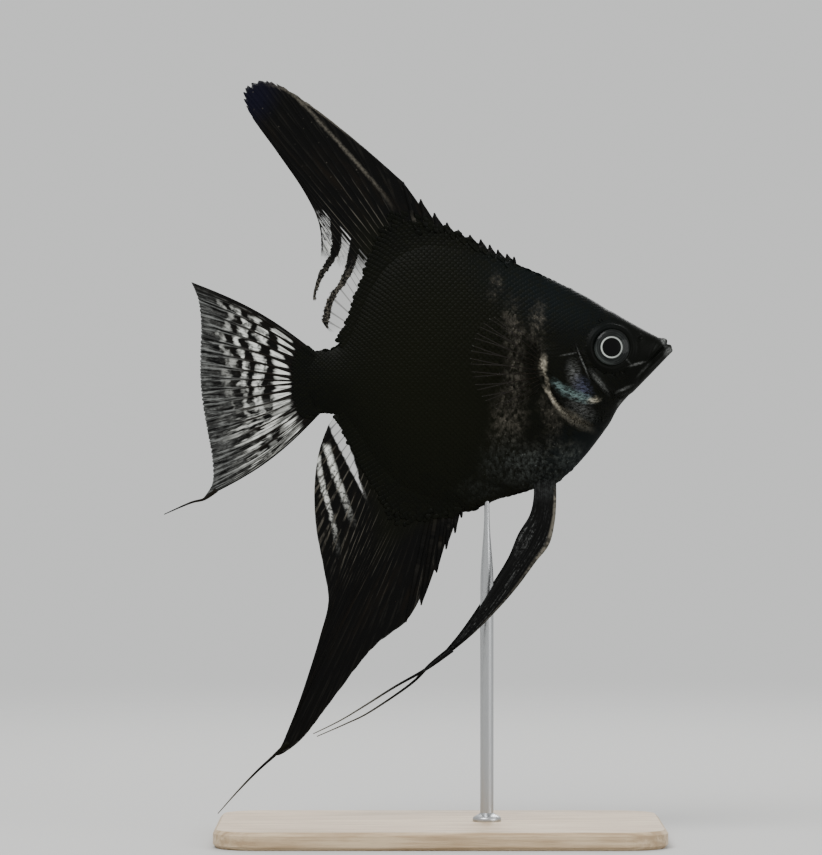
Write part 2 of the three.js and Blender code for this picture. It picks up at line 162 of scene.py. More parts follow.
CAUDAL = {
    **FIN,
    "rays": [
        (0.07, (-34.7, 27.9)), (0.055, (-32.8, 23)), (0.038, (-32, 16)), (0.019, (-32.2, 8.4)),
        (0.001, (-32.2, 1)), (-0.016, (-31.6, -6)), (-0.033, (-30.2, -14)), (-0.05, (-28.9, -21.6)),
        (-0.064, (-28.8, -28.4)), (-0.075, (-31.4, -32.8)),
    ],
    "ray_count": 18,
    "mesh": (12, 72),
    "bow": (2, 2.4),
    "depth": 1.2,
    "sink": 1.6,
    "swell": (3.1, 1.3),
    "fray": (0.1, 0.9, 0.3),
}
PECTORAL = {
    **FIN,
    "rays": [
        ((65, 5.6), (55.4, 17)), ((64.8, 5), (50, 18)), ((64.6, 4.2), (45.6, 14.4)),
        ((64.4, 3.4), (43.6, 8.6)), ((64.4, 2.4), (43.6, 2.4)), ((64.6, 1.4), (46, -3.6)),
        ((64.8, 0.6), (50.6, -7.8)), ((65, 0), (56, -7.6)),
    ],
    "ray_count": 12,
    "mesh": (12, 30),
    "root_half": 0.4,
    "bow": (0.8, 0.8),
    "fray": (0.1, 0.9, 0.2),
    "root_x": 65,
    "root_y": 7.125,
    "spread": math.tan(math.radians(19)),
}
PELVIC = {
    "front": [
        (67.5, -26), (67.5, -33), (67, -39.4), (65.4, -45.6), (61.7, -50.4), (56.8, -57), (51.6, -63),
        (44.2, -70.4), (36.4, -76.8),
    ],
    "rear": [
        (61, -26), (61.3, -32), (60.2, -37.4), (57, -42.8), (54.2, -49.4), (50, -56.4), (45.4, -63.8),
        (40.2, -71.2), (35, -77.4),
    ],
    "ray_count": 5,
    "mesh": (12, 120),
    "root_half": 0.9,
    "fork": 2,  # they don't fork
    "root_z": -27,
    "root_y": 2.625,
    "splay": math.tan(math.radians(6.5)),
}

# Half the height of a trailing thread, from its root to its tip.
STREAMER_HALF = [(0, 0.66), (0.25, 0.42), (0.6, 0.28), (1, 0.13)]
STREAMERS = {
    "anal": [(-7.4, -101), (-11.9, -105.2), (-16.2, -109.1), (-21.7, -114.8), (-27.2, -121)],
    "caudal": [(-27.6, -30.4), (-31, -32.9), (-35, -34), (-42.3, -37.2)],
    "pelvic_right": [(38.4, -74.8), (31.1, -80.1), (22.4, -85), (12.8, -91), (6.7, -94.6), (-0.3, -98)],
    "pelvic_left": [
        (38, -75.2), (32.2, -79.8), (26.8, -85.2), (15.3, -93.1), (8.7, -96.4), (0.3, -100.1),
    ],
}

NOTCH_AT = 0.25  # where between two spines the margin is cut deepest
MOST_NOTCH = 0.6  # the most of a ray that the notches and the fraying cut off
FRAY_WAVES = (68, 97, 151)  # the teeth of a frayed margin, and two waves that vary them
LEAST_FRAY = 0.12
FORK_END = 1.15  # the share of a ray's length at which its branches would stand fully apart
FORK_SPREAD = 0.25  # how far they part to each side, as a share of the rays' spacing
RIDGE_HEIGHT = 0.13  # how far a ray stands out of the membrane
RIDGE_WIDTH = 0.11  # as a share of the rays' spacing
SIDE_GAP = 0.01  # from one side of a fin's plain sheet to the other, before they get their places

FLESH = [
    "head", "trunk", "tail_stalk", "upper_jaw", "lower_jaw", "gill_cover_left", "gill_cover_right",
]
UNIT = 0.0008  # a hundredth of the standard length, in metres
SCALE_DEPTH = 0.3  # how far the skin lies inside the body's surface under its scales, in hundredths
HEAD_FROM = 58  # the x from which the skin has the head's forms
HEAD_SCALES_FROM = 66
BARE_RING = 6.6  # how far from the eye's centre the scales begin


# ---------------------------------------------------------------- curves and profiles

class Line:
    """A smooth curve through points of the side view."""

    def __init__(self, points):
        self.points = [Vector(p) for p in points]
        steps = 24 * (len(points) - 1)
        self.samples = [self.at(i / steps) for i in range(steps + 1)]
        self.lengths = [0.0]
        for a, b in zip(self.samples, self.samples[1:]):
            self.lengths.append(self.lengths[-1] + (b - a).length)

    def at(self, t):
        """The point at share t of its spans."""
        last = len(self.points) - 1
        span = min(int(t * last), last - 1)
        w = t * last - span
        a, b = self.points[span], self.points[span + 1]
        leave = (b - self.points[max(span - 1, 0)]) / 2
        reach = (self.points[min(span + 2, last)] - a) / 2
        return ((2 * (a - b) + leave + reach) * w ** 3
                + (3 * (b - a) - 2 * leave - reach) * w ** 2 + leave * w + a)

    def along(self, share):
        """The point at a share of its length."""
        target = share * self.lengths[-1]
        i = min(bisect.bisect_right(self.lengths, target), len(self.lengths) - 1)
        low, high = self.lengths[i - 1], self.lengths[i]
        return self.samples[i - 1].lerp(self.samples[i], (target - low) / (high - low))

    def measure(self, x, z):
        """For arrays of points: their distance, positive to the left of the line's way, and their share."""
        line = np.array(self.samples[::4])
        way = np.gradient(line, axis=0)
        dx = x[:, None] - line[None, :, 0]
        dz = z[:, None] - line[None, :, 1]
        nearest = (dx ** 2 + dz ** 2).argmin(axis=1)
        rows = np.arange(len(x))
        dx, dz, way = dx[rows, nearest], dz[rows, nearest], way[nearest]
        length = np.hypot(way[:, 0], way[:, 1])
        aside = (way[:, 0] * dz - way[:, 1] * dx) / length
        beyond = np.abs(way[:, 0] * dx + way[:, 1] * dz) / length
        at_end = (nearest == 0) | (nearest == len(line) - 1)
        distance = np.where(at_end, np.hypot(aside, beyond), np.abs(aside)) * np.where(aside < 0, -1, 1)
        return distance, nearest / (len(line) - 1)


class Profile:
    """A smooth function through stations (x, value), level beyond both ends."""

    def __init__(self, stations):
        self.x = [x for x, _ in stations]
        self.y = [y for _, y in stations]
        rises = [(b - a) / (q - p) for a, b, p, q in zip(self.y, self.y[1:], self.x, self.x[1:])]
        self.slopes = [rises[0], *((a + b) / 2 for a, b in zip(rises, rises[1:])), rises[-1]]

    def __call__(self, x):
        x = min(max(x, self.x[0]), self.x[-1])
        i = min(max(bisect.bisect_right(self.x, x), 1), len(self.x) - 1)
        step = self.x[i] - self.x[i - 1]
        w = (x - self.x[i - 1]) / step
        return (self.y[i - 1] * (1 + 2 * w) * (1 - w) ** 2 + self.y[i] * w * w * (3 - 2 * w)
                + step * w * (1 - w) * (self.slopes[i - 1] * (1 - w) - self.slopes[i] * w))


def mix(a, b, share):
    return a + (b - a) * share


def smooth(low, high, value):
    """0 at low and 1 at high, eased at both ends, for a number or an array."""
    share = np.clip((value - low) / (high - low), 0, 1)
    return share * share * (3 - 2 * share)


def bell(value, width):
    """1 at 0, falling off over width on both sides."""
    return np.exp(-(value / width) ** 2)


BACK_LINE = Line(BACK)
BELLY_LINE = Line(BELLY)
GILL_EDGE_LINE = Line(GILL_EDGE)
WIDTH = Profile(HALF_WIDTH)
TAIL = Vector((
    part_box("tail_stalk")[0].x - BACK[0][0] * UNIT, 0,
    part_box("trunk")[1].z - max(p.y for p in BACK_LINE.samples) * UNIT,
))


def world(x, y, z):
    """A point of the fish in metres, in the frame's own axes."""
    return TAIL + Vector((x, y, z)) * UNIT


# ---------------------------------------------------------------- the body's form

@functools.lru_cache(maxsize=2048)
def station(u):
    """The section at share u from the tail to the snout: its middle, half its height, half its width, how
    open it is, which is under 1 near both ends, and how full."""
    back, belly = BACK_LINE.along(u), BELLY_LINE.along(u)
    middle = (back + belly) / 2
    closing = min(1, math.sqrt(25 * min(u, 1 - u)))
    ahead = float(smooth(66, 90, middle.x))
    return middle, (back - belly) / 2, WIDTH(middle.x) * closing, closing, mix(*SECTION_FULL, ahead)


def body_point(u, a, grow=0.0):
    """The body's surface at share u from the tail and at angle a from the back round over the left."""
    middle, up, half, closing, full = station(u)
    height = up.length
    if height < 1e-6:
        return Vector((middle.x + grow * math.copysign(1, u - 0.5), 0, middle.y))
    rise = math.cos(a)
    stretch = max(0, 1 + grow / height)
    bulge = max(0, 1 - abs(rise) ** SECTION_POWER) ** full
    beyond = grow * (1 - closing) * math.copysign(1, u - 0.5)
    return Vector((
        middle.x + up.x * rise * stretch + beyond,
        (half + grow) * bulge * math.copysign(1, math.sin(a)),
        middle.y + up.y * rise * stretch,
    ))


def outside(x, z):
    """How far side-view points lie outside the body's outline, for arrays. Inside it is negative."""
    above = BACK_LINE.measure(x, z)[0]
    below = -BELLY_LINE.measure(x, z)[0]
    return np.where((above > 0) & (below > 0), np.minimum(above, below), np.maximum(above, below))


def head_relief(x, z):
    """How far the head's forms stand out of the plain body, in hundredths, for arrays of side-view points."""
    out = np.zeros_like(x)
    edge, along = GILL_EDGE_LINE.measure(x, z)
    open_gill = smooth(0, 0.16, along) * (1 - smooth(0.9, 1, along))
    out += open_gill * 0.42 * smooth(-0.15, 0.3, edge) * (1 - smooth(1.5, 9, edge))
    out -= open_gill * 0.34 * bell(edge + 0.45, 0.55)
    out -= open_gill * 0.12 * bell(edge - 1.5, 0.4)
    ridge, along = Line(CHEEK_RIDGE).measure(x, z)
    open_ridge = smooth(0, 0.15, along) * (1 - smooth(0.8, 1, along))
    out += open_ridge * (0.16 * bell(ridge - 0.5, 0.7) - 0.2 * bell(ridge + 0.35, 0.4))
    out += 0.3 * bell(x - 76, 5) * bell(z + 1.5, 6.5)
    from_eye = np.hypot(x - EYE["centre"][0], z - EYE["centre"][1])
    out += 0.3 * bell(from_eye - EYE["radius"] - 0.75, 0.55) - 0.1 * bell(from_eye - EYE["radius"] - 2, 0.6)
    out -= 1.6 * (1 - smooth(EYE["radius"] - 1, EYE["radius"] + 0.1, from_eye))
    lips = smooth(91.5, 94.5, x)
    gape = Line(GAPE).measure(x, z)[0]
    lips = lips * (1 - smooth(4, 5, np.abs(gape)))
    out += lips * (0.34 * bell(np.abs(gape) - 1.05, 0.65) - 0.42 * bell(gape, 0.32))
    upper, along = Line(UPPER_LIP).measure(x, z)
    out -= 0.2 * bell(upper, 0.35) * (1 - smooth(0.8, 1, along))
    lower, along = Line(LOWER_LIP).measure(x, z)
    out -= 0.18 * bell(lower, 0.4) * (1 - smooth(0.7, 1, along))
    from_nostril = np.hypot(x - NOSTRIL[0], z - NOSTRIL[1])
    out += 0.14 * bell(from_nostril - 0.85, 0.3) - 0.5 * bell(from_nostril, 0.45)
    for px, pz in PORES:
        out -= 0.2 * bell(np.hypot(x - px, z - pz), 0.34)
    return out


def scaliness(x, z):
    """1 where scales cover the skin, 0 where it is bare: round the eye and on the snout, lips and throat."""
    from_eye = np.hypot(x - EYE["centre"][0], z - EYE["centre"][1])
    bare_snout = smooth(86.5, 84.5, x + 0.25 * (z - 9))
    throat = np.maximum(smooth(-13.5, -10.5, z - (x - 78) * 0.45), smooth(74, 70, x))
    return bare_snout * smooth(BARE_RING, BARE_RING + 1, from_eye) * throat


# ---------------------------------------------------------------- making pieces

def add_object(name, data):
    added = bpy.data.objects.new(name, data)
    bpy.context.scene.collection.objects.link(added)
    return added


def new_piece(name, bm, material, replaces=()):
    """Turns a bmesh in hundredths of the fish into a finished piece in the frame's metres."""
    bmesh.ops.transform(bm, matrix=Matrix.Translation(TAIL) @ Matrix.Scale(UNIT, 4), verts=bm.verts)
    mesh = bpy.data.meshes.new(name)
    bm.to_mesh(mesh)
    bm.free()
    return finish_piece(name, mesh, material, replaces)


def finish_piece(name, mesh, material, replaces=()):
    """Makes a mesh in metres into a piece that rides with the frame in place of the nodes it replaces."""
    mesh.materials.append(material)
    mesh.shade_smooth()
    piece = add_object(name, mesh)
    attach(piece, "root")
    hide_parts(*replaces)
    return piece


def close_up(bm):
    """Merges doubled vertices and turns every face outwards."""
    bmesh.ops.remove_doubles(bm, verts=bm.verts, dist=1e-5)
    bmesh.ops.recalc_face_normals(bm, faces=bm.faces)


def tube(bm, path, radius, t=0.0, sides=8, steps=12, flat=1.0):
    """Adds a closed tapering tube to a bmesh, at t across a fin's rays. path and radius are functions of the
    share along the tube, and flat squeezes it across the midline."""
    part = bmesh.new()
    bmesh.ops.create_cone(part, cap_ends=True, segments=sides, radius1=1, radius2=1, depth=1)
    lengthways = [e for e in part.edges if abs(e.verts[0].co.z - e.verts[1].co.z) > 0.5]
    bmesh.ops.subdivide_edges(part, edges=lengthways, cuts=steps - 1, use_grid_fill=True)
    uv = part.loops.layers.uv.new("fin")
    for face in part.faces:
        for loop in face.loops:
            loop[uv].uv = (t, loop.vert.co.z + 0.5)
    for vert in part.verts:
        share = vert.co.z + 0.5
        ahead = (path(min(share + 0.01, 1)) - path(max(share - 0.01, 0))).normalized()
        side = Vector((0, 1, 0))
        up = ahead.cross(side).normalized()
        vert.co = path(share) + (up * vert.co.x + side * vert.co.y * flat) * radius(share)
    mesh = bpy.data.meshes.new("tube")
    part.to_mesh(mesh)
    part.free()
    bm.from_mesh(mesh)
    bpy.data.meshes.remove(mesh)


# ---------------------------------------------------------------- materials

class Value:
    """A socket of a shader. Arithmetic on it adds the Math nodes."""

    def __init__(self, paint, socket):
        self.paint = paint
        self.socket = socket

    def __add__(self, other):
        return self.paint.math("ADD", self, other)

    def __sub__(self, other):
        return self.paint.math("SUBTRACT", self, other)

    def __rsub__(self, other):
        return self.paint.math("SUBTRACT", other, self)

    def __mul__(self, other):
        return self.paint.math("MULTIPLY", self, other)

    def __truediv__(self, other):
        return self.paint.math("DIVIDE", self, other)

    def __rtruediv__(self, other):
        return self.paint.math("DIVIDE", other, self)

    def __pow__(self, other):
        return self.paint.math("POWER", self, other)

    def __abs__(self):
        return self.paint.math("ABSOLUTE", self)

    __radd__ = __add__
    __rmul__ = __mul__


class Paint:
    """Builds one material. place is in hundredths of the fish, and x and z are its side-view coordinates."""

    def __init__(self, name, **fixed):
        self.material = bpy.data.materials.new(name)
        self.material.use_nodes = True
        self.tree = self.material.node_tree
        self.shader = self.tree.nodes["Principled BSDF"]
        self.feed(**fixed)
        from_tail = self.vector("SUBTRACT", self.node("TexCoord", output="Object"), tuple(TAIL))
        self.place = self.vector("DIVIDE", from_tail, (UNIT,) * 3)
        self.x, _, self.z = self.parts(self.place)

    def node(self, kind, setup=None, inputs=None, output=0):
        """Adds a node, sets it up and gives one of its outputs."""
        node = self.tree.nodes.new("ShaderNode" + kind)
        for key, value in (setup or {}).items():
            setattr(node, key, value)
        for key, value in (inputs or {}).items():
            self.put(node.inputs[key], value)
        return Value(self, node.outputs[output])

    def put(self, socket, value):
        """Links a Value to a socket, or sets the socket to a plain value. Colours are opaque."""
        if isinstance(value, Value):
            self.tree.links.new(value.socket, socket)
        else:
            socket.default_value = (*value, 1.0) if socket.type == "RGBA" else value

    def feed(self, **values):
        """Feeds sockets of the shader, such as Base_Color."""
        for socket, value in values.items():
            self.put(self.shader.inputs[socket.replace("_", " ")], value)

    def parts(self, vector):
        """The three coordinates of a vector."""
        first = self.node("SeparateXYZ", inputs={0: vector})
        return [Value(self, output) for output in first.socket.node.outputs]

    def vector(self, operation, a, b):
        output = "Value" if operation == "LENGTH" else "Vector"
        return self.node("VectorMath", {"operation": operation}, {0: a, 1: b}, output)

    def ease(self, value, low, high):
        """0 at low and 1 at high, eased at both ends."""
        return self.node("MapRange", {"interpolation_type": "SMOOTHSTEP"},
                         {"Value": value, "From Min": low, "From Max": high})

    def blend(self, share, a, b):
        """From colour a to colour b."""
        return self.node("Mix", {"data_type": "RGBA"}, {0: share, 6: a, 7: b}, output=2)

    def curve(self, value, points):
        """Value's place on a smooth line through points (value, result), level beyond both ends."""
        low, high = points[0][0], points[-1][0]
        least, most = min(y for _, y in points), max(y for _, y in points)
        share = self.node("MapRange", {}, {"Value": value, "From Min": low, "From Max": high})
        line = self.node("FloatCurve", {}, {"Factor": 1.0, "Value": share})
        bent = line.socket.node.mapping.curves[0]
        for i, (x, y) in enumerate(points):
            at = ((x - low) / (high - low), (y - least) / (most - least))
            if i in (0, len(points) - 1):
                bent.points[0 if i == 0 else -1].location = at
            else:
                bent.points.new(*at)
        line.socket.node.mapping.update()
        return line * (most - least) + least

    def math(self, operation, *values):
        return self.node("Math", {"operation": operation}, dict(enumerate(values)))

    def most(self, *values):
        return functools.reduce(lambda a, b: self.math("MAXIMUM", a, b), values)

    def fraction(self, value):
        return self.math("FRACT", value)

    def each(self, value):
        """A random number from 0 to 1 for each whole step of value."""
        return self.node("TexWhiteNoise", {"noise_dimensions": "1D"}, {"W": self.math("FLOOR", value)})

    def noise(self, scale, detail=3.0, roughness=0.5, where=None):
        inputs = {"Vector": where or self.place, "Scale": scale, "Detail": detail, "Roughness": roughness}
        return self.node("TexNoise", inputs=inputs)

    def wobble(self, reach, scale, detail=3.0, roughness=0.5):
        """Noise about 0, over reach."""
        return (self.noise(scale, detail, roughness) - 0.5) * reach

    def cells(self, scale, output="Distance", where=None):
        return self.node("TexVoronoi", inputs={"Vector": where or self.place, "Scale": scale}, output=output)

    def uneven(self, reach, x_noise, z_noise):
        """The pair x and z, each shifted by noise over reach."""
        return self.x + self.wobble(reach, *x_noise), self.z + self.wobble(reach, *z_noise)

    def patch(self, centre, size, turn=0.0, soft=0.5, xz=None):
        """1 inside an ellipse of the side view and 0 outside it. turn is in degrees, from x towards z, and xz
        is the pair to use in place of x and z."""
        c, s = math.cos(math.radians(turn)), math.sin(math.radians(turn))
        x, z = xz or (self.x, self.z)
        dx, dz = x - centre[0], z - centre[1]
        along = (dx * c + dz * s) / size[0]
        across = (dz * c - dx * s) / size[1]
        return self.ease((along * along + across * across) ** 0.5, 1 + soft, 1 - soft)

    def mottle(self, low, high, *noise, **where):
        """Patches of noise: 0 where it is below low and 1 where it is above high."""
        return self.ease(self.noise(*noise, **where), low, high)

    def bump(self, height, distance, strength=1.0):
        """A bump of height, a Value from 0 to 1, over distance in metres."""
        inputs = {"Strength": strength, "Distance": distance, "Height": height}
        return self.node("Bump", inputs=inputs, output="Normal")


class FinPaint(Paint):
    """A fin's material. t runs from 0 to 1 across its rays and v along them. across is the distance from the
    nearest ray, as a share of their spacing, and rays is 1 on the rays and their branches and 0 between."""

    def __init__(self, name, ray_count, **fixed):
        super().__init__(name, **fixed)
        self.t, self.v, _ = self.parts(self.node("UVMap", {"uv_map": "fin"}, output="UV"))
        self.across = abs(self.fraction(self.t * ray_count + 0.5) - 0.5)
        forked = abs(self.across - self.ease(self.v, 0.4, FORK_END) * FORK_SPREAD)
        forked = abs(forked - self.ease(self.v, 0.7, 1.25) * 0.12)
        self.rays = self.ease(forked, 0.112, 0.021)

    def grain(self, across, along, detail=3):
        """Noise drawn out along the rays."""
        place = self.node("CombineXYZ", inputs={0: self.t * across, 1: self.v * along})
        return self.noise(1.0, detail, 0.65, where=place)


def settings():
    return bpy.context.scene.angelfish


# Each soft mark of the skin has a centre, a size along and across it, the turn of its length from x
# towards z, and a strength.
CLOUDS = [
    ((55.4, 12), (8, 2.2), 94, 1.0), ((56, 1), (6.5, 2.5), 90, 1.0),
    ((54.2, -10), (7.4, 4.2), 84, 0.95), ((52, -21), (5.5, 4.5), 60, 0.4),
    ((59, -22.6), (6.4, 4.6), 10, 0.85), ((61.9, 16.4), (4.6, 1.9), 80, 1.0),
    ((63, 8), (5, 1), 84, 0.35), ((65.6, -10), (5.4, 2), -70, 0.6),
    ((50.6, 26.6), (3.6, 1.4), 80, 0.55), ((70.6, -21), (4.2, 2.7), 40, 0.85),
    ((67, -18), (4, 2.4), -20, 0.4), ((63.8, -27.4), (5, 2.2), 8, 0.55), ((46, -30), (5, 2.4), 0, 0.25),
]
GILL_MARKS = [
    ((63.7, 4.7), (1.9, 0.8), 86, 0.85), ((64.5, 0.8), (2.6, 0.4), -74, 0.4),
    ((66, -4.4), (2.4, 0.5), -56, 1.0), ((68.4, -7.7), (1.9, 0.6), -46, 0.4),
    ((72.3, -10.5), (4.2, 1.2), -30, 0.24),
]
# Painted glints: light caught by the ridges and creases of the face and the lips.
FACE_GLINTS = [
    ((74.7, 5.3), (3.2, 0.2), -68, 0.7), ((79.3, 0), (3, 0.55), -52, 0.65),
    ((70.9, 7.6), (1.8, 0.22), 10, 0.45), ((90, 4.9), (1.8, 0.3), 16, 0.6),
    ((87, 6), (1.6, 0.25), -40, 0.2), ((86.4, -2.1), (2, 0.35), 24, 0.55),
    ((85.2, -6), (1, 0.35), 50, 0.4), ((99.2, 8.6), (1.4, 0.7), 44, 0.9),
    ((97.6, 11.4), (1.5, 0.6), -70, 0.8), ((92, 3.4), (2, 0.3), 46, 0.25),
]
# Painted glints of the gill cover: light caught by its ridges, each painted in the colour setting that it
# names.
OPERCLE_GLINTS = [
    ((72.3, 2), (3, 1.5), -80, 0.5, "grey_and_glint_colour"),
    ((74.8, -1.9), (3.2, 1.7), -60, 0.8, "glint_colour_2"),
    ((68.2, -1.7), (2.3, 0.9), -48, 0.9, "glint_colour"),
    ((72.4, -3.7), (3.3, 1.1), -30, 1.0, "glint_colour"),
    ((75.8, -4.8), (1.8, 0.9), -20, 0.8, "glint_colour"),
    ((77.7, -5.2), (1.5, 0.7), 8, 0.9, "cream_and_glint_colour"),
    ((74.4, -8), (3.6, 1.7), -34, 0.35, "grey_and_glint_colour"),
]


def skin_paint(name, on_scales):
    """The skin's and the scales' finish: near black, with dull silver flecks in soft bands, and painted
    glints on the gill cover and the face.
    """
    look = settings()
    p = Paint(name, Specular_IOR_Level=look.skin_gloss, IOR=1.4)
    vague = p.uneven(5, (0.22, 3, 0.6), (0.19, 3, 0.6))
    near = p.uneven(1.6, (0.8, 3, 0.6), (0.7, 3, 0.6))
    close = p.uneven(0.7, (1.6, 3, 0.6), (1.4, 3, 0.6))

    # the ground colour
    ground = p.blend(p.patch((34, 2), (24, 30), soft=0.7, xz=vague), look.body_colour, look.flank_colour)
    nape = p.patch((65, 24), (17, 7), -26, soft=0.8, xz=vague)
    nape = p.most(nape, p.patch((72, -21), (9, 6), 40, soft=0.9, xz=vague))
    ground = p.blend(nape * 0.8, ground, look.nape_colour)

    # clouds of dull silver, with a few bright flecks
    cloud = p.most(*(p.patch(at, size, turn, soft=0.75, xz=vague) * much for at, size, turn, much in CLOUDS))
    streaky = p.vector("MULTIPLY", p.place, (1, 1, 0.55))
    dust = p.mottle(0.36, 0.68, 1.0, 5, 0.7, where=streaky)
    dots = p.ease(p.cells(1.15), 0.3, 0.08) * p.mottle(0.47, 0.6, 0.7, 2)
    fleck = cloud * (dust * 0.5 + dots * 0.7)
    if on_scales:
        tone = p.node("Attribute", {"attribute_name": "tone"}, output="Fac")
        fleck = fleck * (0.4 + tone * 1.2)
        ground = p.blend(tone ** 2 * 0.5, ground, look.flank_colour)
    low = p.ease(p.z, -12, -22)
    silver = p.blend(low, look.fleck_colour, look.belly_colour)
    skin = p.blend(fleck, ground, silver)

    # painted glints of the gill cover, its pale edge, and painted glints where light catches the ridges and
    # creases of the face
    slant = {"Vector": p.place, "Rotation": (0, math.radians(-45), 0), "Scale": (0.7, 1, 2)}
    grain = p.noise(1.1, 4, 0.75, where=p.node("Mapping", {}, slant))
    grain = 0.08 + p.ease(grain, 0.42, 0.62) * 0.92
    for at, size, turn, much, tone in OPERCLE_GLINTS:
        mark = p.patch(at, size, turn, soft=0.9, xz=near) * grain * much
        skin = p.blend(mark, skin, getattr(look, tone))
    rough = 0.45 + p.mottle(0.4, 0.62, 1.5, 4, 0.65) * 0.55
    for at, size, turn, much in GILL_MARKS:
        mark = p.patch(at, size, turn, soft=1, xz=near) * rough * much
        skin = p.blend(mark, skin, look.cream_and_glint_colour)
    # painted glints on the ridges and creases of the face
    for at, size, turn, much in FACE_GLINTS:
        mark = p.patch(at, size, turn, soft=0.9, xz=close) * rough ** 1.5 * much
        skin = p.blend(mark, skin, look.grey_and_glint_colour)
    fine = p.noise(2.6, 4, 0.6)
    p.feed(Base_Color=skin, Roughness=0.36 + fine * 0.22, Normal=p.bump(fine, 0.00005, 0.6))
    return p.material


def fin_paint(name, fin, pattern):
    """A fin's finish. pattern gives its colour and its alpha."""
    look = settings()
    p = FinPaint(f"{name}_finish", fin["ray_count"], Specular_IOR_Level=look.fin_gloss)
    skin, alpha = pattern(p, look)
    worn = p.ease(p.v, 0.984, 0.994) * p.mottle(0.42, 0.6, 1.1, 3)
    skin = p.blend(worn * 0.3, skin, look.grey_and_glint_colour)
    p.feed(Base_Color=skin, Alpha=alpha, Roughness=0.42 + p.noise(2, 3) * 0.2,
           Normal=p.bump(p.rays, 0.00008, 0.6))
    return p.material


def dark_ground(p, look, bright):
    """The black ground of a fin with its fine pale rays, brightest where bright is 1. bright also carries
    painted highlights along the front spines.
    """
    broken = p.ease(p.grain(60, 6), 0.42, 0.66)
    skin = p.blend(p.ease(p.grain(26, 3), 0.5, 0.75) * 0.7, look.fin_colour, look.fin_brown)
    skin = p.blend(p.ease(p.v, 0.32, 0.08) * 0.8, skin, look.flank_colour)
    return p.blend(p.rays * broken * (0.03 + bright * 0.42) * p.ease(p.v, 0.04, 0.25), skin, look.ray_colour)


# Lines over the dorsal fin, as points (z, x), and its torn edge, as points (x, z).
DORSAL_STREAK = [(48.5, 21.7), (52.7, 18.9), (61.8, 11.2), (70.7, 3.1), (77.9, -3.5), (82, -8.6)]
OUTER_STRAND = [(22, -0.9), (25.2, -0.5), (29.4, 1.3), (33.6, 4.1), (37.8, 5.9), (44, 5.6)]
INNER_STRAND = [(14, 2.6), (19.6, 3.4), (23.8, 4.9), (28.7, 8.3), (35, 10.5), (42, 11.8)]
DORSAL_BASE = [(8, 6.6), (11.2, 8.1), (19.6, 9.8), (25.2, 12.4), (34, 15.4), (40, 18)]
TORN_EDGE = [(-2, 47.5), (2, 47), (5, 44.5), (8, 41.5), (11, 38.6), (15, 34.6), (19, 33)]


def dorsal_pattern(p, look):
    """Black, with a pale streak behind its front edge and an indigo tip. Its rear corner parts into two dark
    strands with clear membrane between them and the body."""
    x, z = p.uneven(1.6, (0.5, 4, 0.7), (0.6, 3, 0.6))
    # painted highlights along the front spines, which brighten their rays
    spine_highlights = p.ease(p.t, 0.31, 0.28) * p.ease(p.v, 0.55, 0.85)
    bright = p.most(p.patch((12, 46), (12, 7), -48, soft=0.5),
                    p.patch((26, 42), (3, 6), 120, soft=0.6) * 0.5, spine_highlights * 0.1)
    skin = dark_ground(p, look, bright)
    streak = abs(p.x - p.curve(p.z, DORSAL_STREAK)) + p.noise(0.6, 3, 0.6) * 1.3
    streak = p.ease(streak, 1.75, 0.6) * p.ease(p.z, 45.5, 60) * p.ease(p.z, 85, 78)
    rim = p.ease(p.v, 0.962, 0.98) * p.ease(p.t, 0.33, 0.38) * p.ease(p.t, 0.5, 0.45)
    pale = p.most(streak, rim * 0.8) * (0.3 + 0.7 * p.mottle(0.34, 0.6, 1.3, 4, 0.7))
    skin = p.blend(pale * 0.42, skin, look.ray_colour)
    skin = p.blend(p.patch((-17, 79.5), (7, 4.5), 60, soft=0.9, xz=(x, z)), skin, look.indigo_colour)
    specks = p.ease(p.cells(0.7), 0.2, 0.08) * p.mottle(0.52, 0.62, 0.5, 2) * p.ease(p.z, 50, 60)
    skin = p.blend(specks * 0.16, skin, look.ray_colour)

    torn = p.grain(120, 7)
    edge = p.curve(x, TORN_EDGE)
    below = p.ease(edge - z + (p.each(p.t * 102) - 0.6) * 3 + (torn - 0.5) * 5, -0.5, 0.9)
    outer = abs(x - p.curve(z, OUTER_STRAND))
    inner = abs(x - p.curve(z, INNER_STRAND))
    ragged = p.wobble(1.8, 1.5, 4, 0.75)
    outer = p.ease(outer - p.ease(z, 30, 42) * 0.4 + ragged, 1.1, 0.85) * p.ease(z, 22.6, 23.4)
    inner = p.ease(inner - p.ease(z, 24, 38) * 0.5 + ragged, 1.1, 0.85) * p.ease(z, 14.4, 15.2)
    base = p.ease(x - p.curve(z, DORSAL_BASE), -0.3, 0.5)
    solid = p.most(1 - below, outer, inner, base)
    streaky = below * p.ease(z + (x - 2) * 0.45 + ragged * 2, 33.5, 39) * p.ease(x, 15, 9)
    closing = p.ease(edge - z, 7.5, 0) * 0.16
    dark = streaky * p.ease(torn - closing, 0.45, 0.38) * p.ease(x, 11, 4)
    fringe = below * p.ease(p.v, 0.94, 0.97) * p.ease(torn + ragged * 0.1, 0.4, 0.48) * p.ease(z, 34.5, 38)
    solid = p.most(solid, dark * 0.9, fringe)
    pale = streaky * p.ease(torn - closing, 0.41, 0.55)
    skin = p.blend(pale * (1 - solid) * (0.8 - p.rays * 0.6), skin, look.white_colour)
    mottled = below * p.ease(z, 36, 27) * p.mottle(0.47, 0.62, 1.7, 4, 0.7)
    skin = p.blend(mottled * 0.42, skin, look.ray_colour)
    inside = p.ease(x - p.curve(z, INNER_STRAND[:-1]), 0, 0.6)
    film = inside * p.ease(z, 13.5, 15.5) * (0.1 + p.rays * 0.3 + p.ease(z, 29, 36) * 0.5)
    return skin, p.most(solid, pale * 0.85, film)


